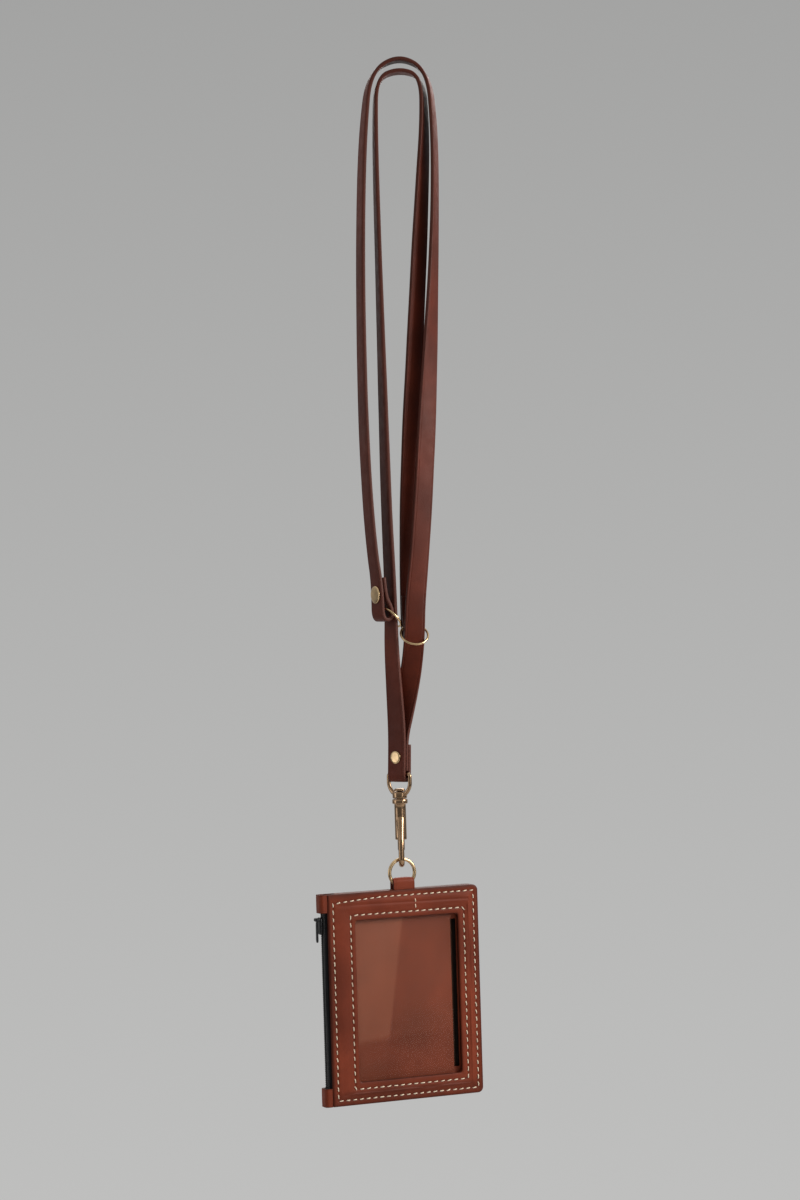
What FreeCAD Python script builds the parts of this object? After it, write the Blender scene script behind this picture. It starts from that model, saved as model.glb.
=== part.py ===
"""ID badge wallet with a zip pocket, hanging by a bolt snap from an adjustable leather lanyard.

Millimetres. X runs to the right along the wallet's face, Y goes into the wallet and Z is up.
The origin is the point that the lanyard hangs from, under the top of its inner arch.
"""
import FreeCAD, Part
import math
import os

V = FreeCAD.Vector

# Wallet body: outer sizes and the leather's thickness
WALLET_WIDTH = 87.6
WALLET_HEIGHT = 112.0
PANEL_THICKNESS = 1.6
CORNER_RADIUS = 3.0

# Window in the front panel, and the film behind it
WINDOW_LEFT = 15.6
WINDOW_RIGHT_MARGIN = 12.3
WINDOW_BOTTOM = 11.8
WINDOW_TOP_MARGIN = 14.8
FILM_THICKNESS = 0.4
FILM_LAP = 1.6
FILM_PLAY = 0.2
FILM_GAP = 3.3

# Layers between the panels
POCKET_WELT = 1.4
BACKING_THICKNESS = 1.2
ZIP_POCKET_DEPTH = 2.4
WELT_BORDER = 6.0
LINING_THICKNESS = 0.4
CARD_SLOT_WIDTH = 3.4
CARD_SLOT_END_MARGIN = 3.0

# Hanging tab
TAB_WIDTH = 12.3
TAB_THICKNESS = 1.3
TAB_OFFSET = 1.4
TAB_RISE = 6.3
TAB_LEG = 9.5
TAB_PLAY = 0.15

# Zip
TAPE_THICKNESS = 0.5
TAPE_REACH = 1.4
TAPE_SEWN = 5.5
TAPE_END_MARGIN = 1.0
COIL_WIDTH = 2.0
COIL_DEPTH = 1.45
COIL_LEAD = 1.1
END_TAB_REACH = 2.9
END_TAB_HEIGHT = 9.8
END_TAB_WALL = 1.1
SLIDER_HEIGHT = 9.0
SLIDER_TOP_MARGIN = 12.0
SLIDER_PLATE = 0.9
SLIDER_WIDTH = 5.4
SLIDER_INNER_WIDTH = 2.9
SLIDER_BRIDGE = 0.5
SLIDER_PLAY = 0.2
SLIDER_CORNER = 1.2
PULL_LENGTH = 12.0
PULL_WIDTH = 2.2
PULL_THICKNESS = 0.9
PULL_PIN = 0.7
PULL_PLAY = 0.15
PULL_EAR = 0.6
PULL_EYE_WALL = 0.55

# Ring through the tab
RING_WIRE = 1.9
RING_OUTER = 16.4
RING_PLAY = 0.3
TOP_EDGE_PLAY = 0.4

# Bolt snap
VIEW_TURN = -24.0
SNAP_ACROSS = -11.3
BAR_HEIGHT = -378.6
EYE_TURN = -63.5
EYE_WIRE = 2.1
EYE_INNER = 12.5
EYE_CORNER = 1.6
EYE_SHOULDER = 4.5
EYE_BOSS_RADIUS = 3.9
EYE_BOSS_HEIGHT = 3.5
EYE_BOSS_DROP = 9.6
PIN_RADIUS = 1.5
PIN_HEAD_RADIUS = 3.0
PIN_HEAD_HEIGHT = 1.6
PIN_PLAY = 0.15
PIN_SEAT = 2.5
SWIVEL_PLAY = 0.3
COLLAR_RADIUS = 4.15
COLLAR_HEIGHT = 2.6
COLLAR_ROUND = 0.6
BARREL_RADIUS = 3.1
BARREL_HEIGHT = 19.2
BARREL_BORE_RADIUS = 2.1
BORE_TOP_WALL = 1.0
HOOK_WIRE = 3.2
HOOK_BEND = 3.5
HOOK_SPINE = 7.6
HOOK_DROP = 13.0
HOOK_TIP = 3.4
HOOK_ROOT_DROP = 8.5
HOOK_KNEE = 4.0
BOLT_PLAY = 0.2
BOLT_TRAVEL = 6.0
BOLT_TIP_PLAY = 0.3
KNOB_STEM_RADIUS = 0.7
KNOB_RADIUS = 1.7
KNOB_HEIGHT = 1.2
KNOB_PROUD = 0.5
KNOB_RISE = 4.2
SLOT_PLAY = 0.25
SPRING_WIRE = 0.5
SPRING_TURNS = 8
SPRING_PLAY = 0.25

# Lanyard straps, their rings and rivets
STRAP_WIDTH = 11.2
STRAP_THICKNESS = 2.0
SECTION_TURN = 9.0
LOOP_POINTS = 8
ADJUSTER_WIRE = 1.2
ADJUSTER_INNER = 13.5
ADJUSTER_TILT = 45.0
RIVET_CAP_HEIGHT = 0.8
RIVET_POST_RADIUS = 1.1
RIVET_BACK_RADIUS = 3.0
RIVET_PLAY = 0.1
HOOK_RIVET_RADIUS = 3.3
ADJUSTER_RIVET_RADIUS = 4.4

# Overrun of every cut past the face it starts from
OVERRUN = 1.0

# Strap routes, as seen from the front: across, up, away and the turn of the strap's width.
# The left strap starts at its tail behind the eye, and ends in the loop on the right ring.
LEFT_ROUTE = [
    (-9.2, -363.0, 1.85, -39.5),
    (-9.5, -372.0, 1.8, -39.5),
    (-9.85, -382.0, 1.85, -39.5),
    (-12.75, -382.0, -1.85, -39.5),
    (-12.3, -372.0, -1.75, -39.5),
    (-11.7, -356.0, -1.8, -40.0),
    (-12.5, -334.0, -1.5, -45.0),
    (-13.3, -312.0, -0.6, -53.0),
    (-13.1, -296.0, 0.05, -58.0),
    (-13.0, -281.0, 0.2, -61.0),
    (-13.3, -262.0, 0.2, -64.0),
    (-13.8, -235.0, 0.0, -66.5),
    (-13.9, -195.0, 0.0, -69.5),
    (-14.0, -150.0, 0.0, -74.0),
    (-14.1, -105.0, 0.0, -79.0),
    (-14.1, -64.0, 0.0, -81.0),
    (-13.8, -32.0, 0.0, -83.0),
    (-12.6, -6.5, 0.0, -86.0),
    (0.0, -2.0, 0.0, -90.0),
    (12.3, -6.5, 0.0, -100.0),
    (12.7, -32.0, 0.0, -110.0),
    (10.5, -64.0, 0.2, -123.0),
    (7.4, -105.0, 0.6, -134.0),
    (4.0, -150.0, 1.4, -138.0),
    (0.5, -195.0, 2.8, -142.0),
    (-1.6, -235.0, 4.2, -149.0),
    (-2.4, -262.0, 4.6, -156.0),
    (-2.5, -280.0, 4.7, -162.0),
    (-2.6, -293.5, 4.9, -166.0),
    (-2.4, -305.6, 4.9, -168.0),
    (-1.15, -305.6, -0.8, -168.0),
    (-1.15, -299.0, -0.8, -168.0),
    (-2.0, -293.5, 2.7, -166.0),
    (-1.9, -283.5, 2.55, -162.0),
]

# The right strap starts between the left strap's two layers, and ends in the loop on the left ring.
RIGHT_ROUTE = [
    (-11.0, -377.0, 0.0, -219.5),
    (-10.8, -369.0, 0.0, -219.5),
    (-10.4, -359.0, 0.0, -218.5),
    (-7.8, -347.0, 1.2, -208.0),
    (-5.2, -334.0, 1.6, -196.0),
    (-2.4, -319.0, -1.2, -183.0),
    (-0.7, -303.5, -3.25, -168.0),
    (0.1, -287.0, -2.6, -161.0),
    (2.9, -264.0, -1.2, -155.0),
    (5.9, -233.0, -0.5, -149.0),
    (8.9, -195.0, 0.0, -145.0),
    (12.3, -150.0, 0.0, -128.0),
    (15.4, -105.0, 0.0, -110.0),
    (17.4, -64.0, 0.0, -104.0),
    (17.7, -32.0, 0.0, -103.0),
    (15.6, -3.5, 0.0, -98.0),
    (0.0, 5.4, 0.0, -90.0),
    (-16.2, -3.5, 0.0, -80.0),
    (-20.0, -32.0, 0.0, -74.0),
    (-22.2, -64.0, 0.0, -73.0),
    (-23.8, -105.0, -0.3, -72.0),
    (-24.6, -150.0, -0.8, -70.0),
    (-24.7, -195.0, -1.6, -68.0),
    (-23.6, -235.0, -2.6, -67.0),
    (-21.8, -262.0, -3.6, -65.0),
    (-20.4, -273.0, -3.9, -63.0),
    (-19.9, -283.5, -4.2, -60.0),
    (-19.9, -296.0, -4.25, -58.0),
    (-15.05, -296.0, -1.2, -58.0),
    (-15.05, -289.4, -1.2, -58.0),
    (-18.0, -284.0, -3.05, -60.0),
    (-18.4, -273.5, -2.9, -63.0),
]

# Heights of the rivets, and the middles of the two adjuster rings
HOOK_RIVET_UP = -369.7
LEFT_RIVET_UP = -282.5
RIGHT_RIVET_UP = -288.0
LEFT_RING_AT = (-13.9, -294.6, -0.5, -58.0)
RIGHT_RING_AT = (-0.9, -304.3, -2.1, -168.0)

# Sizes worked out from the ones above
WINDOW_RIGHT = WALLET_WIDTH - WINDOW_RIGHT_MARGIN
WINDOW_TOP = WALLET_HEIGHT - WINDOW_TOP_MARGIN
WELT_BACK = PANEL_THICKNESS + POCKET_WELT
BACKING_BACK = WELT_BACK + BACKING_THICKNESS
POCKET_BACK = BACKING_BACK + ZIP_POCKET_DEPTH
WALLET_THICKNESS = POCKET_BACK + PANEL_THICKNESS
MIDDLE_DEPTH = (PANEL_THICKNESS + POCKET_BACK) / 2
TAB_MIDDLE = WALLET_WIDTH / 2 + TAB_OFFSET
TAB_LEFT = TAB_MIDDLE - TAB_WIDTH / 2
RING_RADIUS = (RING_OUTER - RING_WIRE) / 2
EYE_BOSS_TOP = BAR_HEIGHT - EYE_BOSS_DROP
COLLAR_TOP = EYE_BOSS_TOP - EYE_BOSS_HEIGHT - SWIVEL_PLAY
BARREL_TOP = COLLAR_TOP - COLLAR_HEIGHT
BARREL_BOTTOM = BARREL_TOP - BARREL_HEIGHT
HOOK_CENTRE_UP = BARREL_BOTTOM - HOOK_DROP + HOOK_BEND
HOOK_FLOOR = HOOK_CENTRE_UP - HOOK_BEND + HOOK_WIRE / 2
RING_TOP = HOOK_FLOOR + RING_PLAY + RING_WIRE / 2
RING_UP = RING_TOP - RING_RADIUS
WALLET_TOP = RING_UP - RING_OUTER / 2 - TOP_EDGE_PLAY
BOLT_RADIUS = BARREL_BORE_RADIUS - BOLT_PLAY
KNOB_UP = BARREL_BOTTOM + KNOB_RISE
ADJUSTER_RADIUS = (ADJUSTER_INNER + ADJUSTER_WIRE) / 2


def hung(across, up, away):
    """A point as seen from the front, turned into the wallet's own axes."""
    turn = math.radians(VIEW_TURN)
    x = across * math.cos(turn) - away * math.sin(turn)
    y = across * math.sin(turn) + away * math.cos(turn)
    return V(x, y, up)


SNAP_AXIS = hung(SNAP_ACROSS, 0, 0)
RING_CENTRE = hung(SNAP_ACROSS, RING_UP, -HOOK_BEND)
WALLET_CORNER = RING_CENTRE - V(TAB_MIDDLE, MIDDLE_DEPTH, RING_UP - WALLET_TOP + WALLET_HEIGHT)


def block(x0, x1, y0, y1, z0, z1):
    """A box between two corners."""
    return Part.makeBox(x1 - x0, y1 - y0, z1 - z0, V(x0, y0, z0))


def rounded_plate(x0, x1, y0, y1, z0, z1, radius):
    """A plate in the wallet's face, with its two right-hand corners rounded."""
    lean = radius * (1 - math.sqrt(0.5))
    lines = [
        Part.LineSegment(V(x0, y0, z0), V(x1 - radius, y0, z0)),
        Part.Arc(V(x1 - radius, y0, z0), V(x1 - lean, y0, z0 + lean), V(x1, y0, z0 + radius)),
        Part.LineSegment(V(x1, y0, z0 + radius), V(x1, y0, z1 - radius)),
        Part.Arc(V(x1, y0, z1 - radius), V(x1 - lean, y0, z1 - lean), V(x1 - radius, y0, z1)),
        Part.LineSegment(V(x1 - radius, y0, z1), V(x0, y0, z1)),
        Part.LineSegment(V(x0, y0, z1), V(x0, y0, z0)),
    ]
    wire = Part.Wire([line.toShape() for line in lines])
    return Part.Face(wire).extrude(V(0, y1 - y0, 0))


def tab_notch(y0, y1):
    """The room that the hanging tab's legs take between the layers."""
    low = WALLET_HEIGHT - TAB_LEG - TAB_PLAY
    return block(TAB_LEFT - TAB_PLAY, TAB_LEFT + TAB_WIDTH + TAB_PLAY, y0 - OVERRUN, y1 + OVERRUN,
                 low, WALLET_HEIGHT + OVERRUN)


def front_panel():
    """Front leather with the window opening."""
    panel = rounded_plate(0, WALLET_WIDTH, 0, PANEL_THICKNESS, 0, WALLET_HEIGHT, CORNER_RADIUS)
    window = block(WINDOW_LEFT, WINDOW_RIGHT, -OVERRUN, PANEL_THICKNESS + OVERRUN,
                   WINDOW_BOTTOM, WINDOW_TOP)
    return panel.cut(window)


def window_film():
    """Clear film behind the window, short of its right edge."""
    return block(WINDOW_LEFT - FILM_LAP, WINDOW_RIGHT - FILM_GAP, PANEL_THICKNESS,
                 PANEL_THICKNESS + FILM_THICKNESS, WINDOW_BOTTOM - FILM_LAP, WINDOW_TOP + FILM_LAP)


def pocket_welt():
    """Leather frame that spaces the card pocket behind the front panel."""
    lap = FILM_LAP + FILM_PLAY
    frame = rounded_plate(TAPE_SEWN, WALLET_WIDTH, PANEL_THICKNESS, WELT_BACK, 0, WALLET_HEIGHT,
                          CORNER_RADIUS)
    inside = block(WINDOW_LEFT - lap, WINDOW_RIGHT + lap, 0, BACKING_BACK, WINDOW_BOTTOM - lap,
                   WINDOW_TOP + lap)
    return frame.cut(inside).cut(tab_notch(PANEL_THICKNESS, WELT_BACK))


def card_backing():
    """Leather wall between the card pocket and the zip pocket, with the card slot."""
    wall = rounded_plate(TAPE_SEWN, WALLET_WIDTH, WELT_BACK, BACKING_BACK, 0, WALLET_HEIGHT,
                         CORNER_RADIUS)
    slot_left = WINDOW_RIGHT - FILM_GAP
    slot = block(slot_left, slot_left + CARD_SLOT_WIDTH, 0, POCKET_BACK,
                 WINDOW_BOTTOM + CARD_SLOT_END_MARGIN, WINDOW_TOP - CARD_SLOT_END_MARGIN)
    return wall.cut(slot).cut(tab_notch(WELT_BACK, BACKING_BACK))


def edge_welt():
    """Leather border of the zip pocket along the top, right and bottom."""
    frame = rounded_plate(TAPE_SEWN, WALLET_WIDTH, BACKING_BACK, POCKET_BACK, 0, WALLET_HEIGHT,
                          CORNER_RADIUS)
    inside = block(0, WALLET_WIDTH - WELT_BORDER, BACKING_BACK - OVERRUN, POCKET_BACK + OVERRUN,
                   WELT_BORDER, WALLET_HEIGHT - TAB_LEG - TAB_PLAY)
    return frame.cut(inside).cut(tab_notch(BACKING_BACK, POCKET_BACK))


def pocket_lining():
    """Dark lining on the inside of the back panel."""
    return block(TAPE_SEWN, WALLET_WIDTH - WELT_BORDER, POCKET_BACK - LINING_THICKNESS,
                 POCKET_BACK, WELT_BORDER, WALLET_HEIGHT - TAB_LEG - TAB_PLAY)


def back_panel():
    """Plain back leather."""
    return rounded_plate(0, WALLET_WIDTH, POCKET_BACK, WALLET_THICKNESS, 0, WALLET_HEIGHT,
                         CORNER_RADIUS)


def hang_tab():
    """Leather strip folded over the ring, its two legs sewn between the panels."""
    outer = (POCKET_BACK - PANEL_THICKNESS) / 2
    inner = outer - TAB_THICKNESS
    fold_up = WALLET_HEIGHT + TAB_RISE - outer
    axis = V(1, 0, 0)
    start = V(TAB_LEFT, MIDDLE_DEPTH, fold_up)
    low = WALLET_HEIGHT - TAB_LEG
    front = block(TAB_LEFT, TAB_LEFT + TAB_WIDTH, PANEL_THICKNESS, PANEL_THICKNESS + TAB_THICKNESS,
                  low, fold_up)
    back = block(TAB_LEFT, TAB_LEFT + TAB_WIDTH, POCKET_BACK - TAB_THICKNESS, POCKET_BACK,
                 low, fold_up)
    fold = Part.makeCylinder(outer, TAB_WIDTH, start, axis)
    fold = fold.cut(Part.makeCylinder(inner, TAB_WIDTH + 2 * OVERRUN, start - axis * OVERRUN, axis))
    lower_half = block(TAB_LEFT - OVERRUN, TAB_LEFT + TAB_WIDTH + OVERRUN, 0, WALLET_THICKNESS,
                       low, fold_up)
    loop = fold.cut(lower_half).fuse([front, back]).removeSplitter()
    ring_up = WALLET_HEIGHT + RING_UP - WALLET_TOP
    room = Part.makeTorus(RING_RADIUS, RING_WIRE / 2 + TAB_PLAY, V(TAB_MIDDLE, MIDDLE_DEPTH, ring_up),
                          V(0, 1, 0))
    return loop.cut(room)


def tab_filler():
    """Leather between the tab's two legs, below the ring."""
    return block(TAB_LEFT, TAB_LEFT + TAB_WIDTH, PANEL_THICKNESS + TAB_THICKNESS,
                 POCKET_BACK - TAB_THICKNESS, WALLET_HEIGHT - TAB_LEG, WALLET_HEIGHT)


def zip_tape(y0):
    """Woven tape sewn under a panel's left edge."""
    return block(-TAPE_REACH, TAPE_SEWN, y0, y0 + TAPE_THICKNESS, TAPE_END_MARGIN,
                 WALLET_HEIGHT - TAPE_END_MARGIN)


def zip_coil(y0):
    """Row of zip teeth, as one bar beside its tape."""
    return block(-TAPE_REACH - COIL_LEAD + TAPE_THICKNESS, -TAPE_REACH - COIL_LEAD + COIL_WIDTH, y0,
                 y0 + COIL_DEPTH, TAPE_END_MARGIN, WALLET_HEIGHT - TAPE_END_MARGIN)


def zip_end_tab(z0):
    """Folded leather tab over one end of the zip."""
    outer = block(-END_TAB_REACH - END_TAB_WALL, 0, PANEL_THICKNESS - END_TAB_WALL,
                  POCKET_BACK + END_TAB_WALL, z0, z0 + END_TAB_HEIGHT)
    edges = [edge for edge in outer.Edges if is_left_edge(edge)]
    outer = outer.makeFillet(END_TAB_WALL, edges)
    inside = block(-END_TAB_REACH, OVERRUN, PANEL_THICKNESS, POCKET_BACK, z0 - OVERRUN,
                   z0 + END_TAB_HEIGHT + OVERRUN)
    return outer.cut(inside)


def is_left_edge(edge):
    """True for an upright edge on the box's left face."""
    box = edge.BoundBox
    return box.XMax < -END_TAB_REACH and box.ZLength > box.YLength


def slider_plate_left():
    """Outside face of the slider's outer plate."""
    return -TAPE_REACH - COIL_LEAD - SLIDER_PLAY - SLIDER_PLATE


def pull_pivot():
    """Centre of the pull's pin, in the wallet's own corner frame."""
    stand_off = PULL_PIN / 2 + PULL_PLAY + PULL_EYE_WALL + PULL_PLAY
    return V(slider_plate_left() - stand_off, MIDDLE_DEPTH, slider_top() - SLIDER_CORNER)


def slider_top():
    """Height of the slider's upper end with the zip closed."""
    return WALLET_HEIGHT - SLIDER_TOP_MARGIN


def zip_slider():
    """Slider: outer plate, thin bridge between the tooth rows, inner plate and the pull's pin."""
    top = slider_top()
    low = top - SLIDER_HEIGHT
    left = slider_plate_left()
    outer = block(left, left + SLIDER_PLATE, MIDDLE_DEPTH - SLIDER_WIDTH / 2,
                  MIDDLE_DEPTH + SLIDER_WIDTH / 2, low, top)
    outer = outer.makeFillet(SLIDER_CORNER, [edge for edge in outer.Edges if is_across(edge)])
    inner_left = -TAPE_REACH - COIL_LEAD + COIL_WIDTH + SLIDER_PLAY
    inner = block(inner_left, inner_left + SLIDER_PLATE, MIDDLE_DEPTH - SLIDER_INNER_WIDTH / 2,
                  MIDDLE_DEPTH + SLIDER_INNER_WIDTH / 2, low, top)
    bridge = block(left + SLIDER_PLATE, inner_left, MIDDLE_DEPTH - SLIDER_BRIDGE / 2,
                   MIDDLE_DEPTH + SLIDER_BRIDGE / 2, low, top)
    body = outer.fuse([inner, bridge])
    pivot = pull_pivot()
    reach = PULL_WIDTH / 2 + PULL_PLAY
    round_end = PULL_PIN / 2 + PULL_EYE_WALL
    for side in (-1, 1):
        y0 = MIDDLE_DEPTH + min(side * reach, side * (reach + PULL_EAR))
        ear = block(pivot.x, left, y0, y0 + PULL_EAR, pivot.z - round_end, pivot.z + round_end)
        nose = Part.makeCylinder(round_end, PULL_EAR, V(pivot.x, y0, pivot.z), V(0, 1, 0))
        body = body.fuse([ear, nose])
    pin = Part.makeCylinder(PULL_PIN / 2, 2 * reach, V(pivot.x, MIDDLE_DEPTH - reach, pivot.z),
                            V(0, 1, 0))
    return body.fuse(pin).removeSplitter()


def is_across(edge):
    """True for an edge that runs through a plate's thickness, along X."""
    box = edge.BoundBox
    return box.XLength > max(box.YLength, box.ZLength)


def zip_pull():
    """Flat pull that hangs from the slider's pin."""
    pivot = pull_pivot()
    hole = PULL_PIN / 2 + PULL_PLAY
    rim = hole + PULL_EYE_WALL
    front = MIDDLE_DEPTH - PULL_WIDTH / 2
    eye = Part.makeCylinder(rim, PULL_WIDTH, V(pivot.x, front, pivot.z), V(0, 1, 0))
    blade = block(pivot.x - PULL_THICKNESS / 2, pivot.x + PULL_THICKNESS / 2, front,
                  front + PULL_WIDTH, pivot.z - PULL_LENGTH, pivot.z)
    bore = Part.makeCylinder(hole, PULL_WIDTH + 2 * OVERRUN, V(pivot.x, front - OVERRUN, pivot.z),
                             V(0, 1, 0))
    return eye.fuse(blade).cut(bore).removeSplitter()


def at_wallet(shape):
    """Move a shape from the wallet's own corner to its place under the ring."""
    shape.translate(WALLET_CORNER)
    return shape


def round_wire(points, radius):
    """A round rod along lines and arcs; a group of three points is an arc."""
    edges = []
    for group in points:
        line = Part.Arc(*group) if len(group) == 3 else Part.LineSegment(*group)
        edges.append(line.toShape())
    path = Part.Wire(edges)
    first = path.Edges[0]
    start = first.valueAt(first.FirstParameter)
    ahead = first.tangentAt(first.FirstParameter)
    section = Part.Wire(Part.Circle(start, ahead, radius).toShape())
    return path.makePipeShell([section], True, False, 2)


def rounded_corner(before, corner, after, length):
    """Three points of the arc that rounds a corner, starting a length before it."""
    back = (before - corner).normalize()
    ahead = (after - corner).normalize()
    half = back.getAngle(ahead) / 2
    inward = (back + ahead).normalize()
    nearest = length / math.cos(half) - length * math.tan(half)
    return corner + back * length, corner + inward * nearest, corner + ahead * length


def at_snap(shape, turn):
    """Turn a shape about the snap's upright axis and move it there."""
    shape.rotate(V(0, 0, 0), V(0, 0, 1), turn)
    shape.translate(SNAP_AXIS)
    return shape


def swivel_eye():
    """Wire eye with a straight bar for the strap and a bored boss for the swivel pin."""
    half = (EYE_INNER + EYE_WIRE) / 2
    boss_middle = EYE_BOSS_DROP + EYE_BOSS_HEIGHT / 2
    drop = boss_middle - EYE_SHOULDER
    entry = EYE_BOSS_RADIUS - EYE_WIRE
    run = half - entry
    bend = (run * run + drop * drop) / (2 * run)
    sweep = math.atan2(drop, bend - run) / 2
    lean = EYE_CORNER * (1 - math.sqrt(0.5))
    side = [
        (V(entry, 0, -boss_middle), V(half - bend + bend * math.cos(sweep), 0,
                                      -EYE_SHOULDER - bend * math.sin(sweep)),
         V(half, 0, -EYE_SHOULDER)),
        (V(half, 0, -EYE_SHOULDER), V(half, 0, -EYE_CORNER)),
        (V(half, 0, -EYE_CORNER), V(half - lean, 0, -lean), V(half - EYE_CORNER, 0, 0)),
    ]
    bar = [(V(half - EYE_CORNER, 0, 0), V(EYE_CORNER - half, 0, 0))]
    other = [tuple(V(-p.x, p.y, p.z) for p in reversed(group)) for group in reversed(side)]
    wire = round_wire(side + bar + other, EYE_WIRE / 2)
    boss_low = V(0, 0, -EYE_BOSS_DROP - EYE_BOSS_HEIGHT)
    boss = Part.makeCylinder(EYE_BOSS_RADIUS, EYE_BOSS_HEIGHT, boss_low)
    bore = Part.makeCylinder(PIN_RADIUS + PIN_PLAY, EYE_BOSS_HEIGHT + 2 * OVERRUN,
                             boss_low - V(0, 0, OVERRUN))
    eye = wire.fuse(boss).cut(bore)
    eye.translate(V(0, 0, BAR_HEIGHT))
    return at_snap(eye, EYE_TURN)


def swivel_pin():
    """Headed pin that carries the hook in the eye's boss."""
    head_low = EYE_BOSS_TOP + SWIVEL_PLAY
    low = COLLAR_TOP - PIN_SEAT
    shaft = Part.makeCylinder(PIN_RADIUS, head_low - low, V(0, 0, low))
    head = Part.makeCylinder(PIN_HEAD_RADIUS, PIN_HEAD_HEIGHT, V(0, 0, head_low))
    return at_snap(shaft.fuse(head).removeSplitter(), VIEW_TURN)


def snap_hook():
    """Barrel with its collar, spine and open hook, bored for the bolt and slotted for its knob."""
    collar = Part.makeCylinder(COLLAR_RADIUS, COLLAR_HEIGHT, V(0, 0, BARREL_TOP))
    collar = collar.makeFillet(COLLAR_ROUND, collar.Edges[0:1])
    barrel = Part.makeCylinder(BARREL_RADIUS, BARREL_HEIGHT, V(0, 0, BARREL_BOTTOM))
    spine_y = -2 * HOOK_BEND
    root = V(0, -HOOK_WIRE / 2, BARREL_TOP - HOOK_ROOT_DROP)
    knee = V(0, spine_y, HOOK_CENTRE_UP + HOOK_SPINE)
    spine_end = V(0, spine_y, HOOK_CENTRE_UP)
    seat = V(0, -HOOK_BEND, HOOK_CENTRE_UP - HOOK_BEND)
    tip_start = V(0, 0, HOOK_CENTRE_UP)
    tip = tip_start + V(0, 0, HOOK_TIP)
    turn = rounded_corner(root, knee, spine_end, HOOK_KNEE)
    arm = round_wire([(root, turn[0]), turn, (turn[2], spine_end), (spine_end, seat, tip_start),
                      (tip_start, tip)], HOOK_WIRE / 2)
    bore = Part.makeCylinder(BARREL_BORE_RADIUS, BARREL_HEIGHT - BORE_TOP_WALL + OVERRUN,
                             V(0, 0, BARREL_BOTTOM - OVERRUN))
    seat_bore = Part.makeCylinder(PIN_RADIUS, PIN_SEAT + OVERRUN, V(0, 0, COLLAR_TOP - PIN_SEAT))
    half_slot = KNOB_STEM_RADIUS + SLOT_PLAY
    slot = block(-half_slot, half_slot, 0, BARREL_RADIUS + OVERRUN, KNOB_UP - half_slot,
                 KNOB_UP + BOLT_TRAVEL + half_slot)
    hook = barrel.fuse([collar, arm]).cut(bore).cut(seat_bore).cut(slot)
    return at_snap(hook.removeSplitter(), VIEW_TURN)


def bolt_ends():
    """Lower and upper ends of the sliding bolt, closed."""
    low = HOOK_CENTRE_UP + HOOK_TIP + BOLT_TIP_PLAY
    high = KNOB_UP + 2 * KNOB_STEM_RADIUS
    return low, high


def snap_bolt():
    """Round bolt that closes the hook."""
    low, high = bolt_ends()
    return at_snap(Part.makeCylinder(BOLT_RADIUS, high - low, V(0, 0, low)), VIEW_TURN)


def bolt_knob():
    """Thumb knob on the bolt, through the slot at the back."""
    proud = BARREL_RADIUS + KNOB_PROUD
    stem = Part.makeCylinder(KNOB_STEM_RADIUS, proud - BOLT_RADIUS, V(0, BOLT_RADIUS, KNOB_UP), V(0, 1, 0))
    stem = stem.cut(Part.makeCylinder(BOLT_RADIUS, 2 * KNOB_RADIUS, V(0, 0, KNOB_UP - KNOB_RADIUS)))
    button = Part.makeCylinder(KNOB_RADIUS, KNOB_HEIGHT, V(0, proud, KNOB_UP), V(0, 1, 0))
    return at_snap(stem.fuse(button).removeSplitter(), VIEW_TURN)


def bolt_spring():
    """Coil spring above the bolt, inside the barrel."""
    low, high = bolt_ends()
    top = BARREL_TOP - BORE_TOP_WALL
    length = top - high - 2 * SPRING_PLAY - SPRING_WIRE
    radius = BARREL_BORE_RADIUS - SPRING_PLAY - SPRING_WIRE / 2
    path = Part.makeHelix(length / SPRING_TURNS, length, radius)
    start = path.Edges[0].valueAt(path.Edges[0].FirstParameter)
    ahead = path.Edges[0].tangentAt(path.Edges[0].FirstParameter)
    section = Part.Wire(Part.Circle(start, ahead, SPRING_WIRE / 2).toShape())
    spring = Part.Wire(path.Edges).makePipeShell([section], True, True)
    spring.translate(V(0, 0, high + SPRING_PLAY + SPRING_WIRE / 2))
    return at_snap(spring, VIEW_TURN)


def tab_ring():
    """Round ring that joins the hook and the hanging tab."""
    return Part.makeTorus(RING_RADIUS, RING_WIRE / 2, RING_CENTRE, V(0, 1, 0))


def route_line(route):
    """Sections along a strap: points of the clamped uniform quadratic spline of the route's points.

    Each span of the spline is cut so that no step turns by more than SECTION_TURN degrees.
    """
    spans = len(route) - 2
    sections = []
    for span in range(spans):
        a, b, c = (list(route[span + k]) for k in range(3))
        first = a if span == 0 else [(p + q) / 2 for p, q in zip(a, b)]
        last = c if span == spans - 1 else [(p + q) / 2 for p, q in zip(b, c)]
        out = hung(*b[:3]) - hung(*first[:3])
        back = hung(*last[:3]) - hung(*b[:3])
        turn = math.degrees(out.getAngle(back))
        steps = max(2, math.ceil((turn + abs(last[3] - first[3])) / SECTION_TURN))
        for step in range(steps + (span == spans - 1)):
            t = step / steps
            weights = ((1 - t) ** 2, 2 * t * (1 - t), t * t)
            row = [sum(w * p for w, p in zip(weights, column)) for column in zip(first, b, last)]
            ahead = out * (1 - t) + back * t
            sections.append((hung(*row[:3]), ahead.normalize(), row[3]))
    return sections


def strap(route):
    """Flat strap: rectangles along the route, joined by ruled faces."""
    rims = []
    for at, ahead, turn in route_line(route):
        angle = math.radians(turn + VIEW_TURN)
        across = V(math.cos(angle), math.sin(angle), 0)
        across = (across - ahead * across.dot(ahead)).normalize() * (STRAP_WIDTH / 2)
        up = ahead.cross(across).normalize() * (STRAP_THICKNESS / 2)
        corners = [at + across + up, at - across + up, at - across - up, at + across - up]
        rims.append(Part.makePolygon(corners + corners[:1]))
    return Part.makeLoft(rims, True, True)


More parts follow.
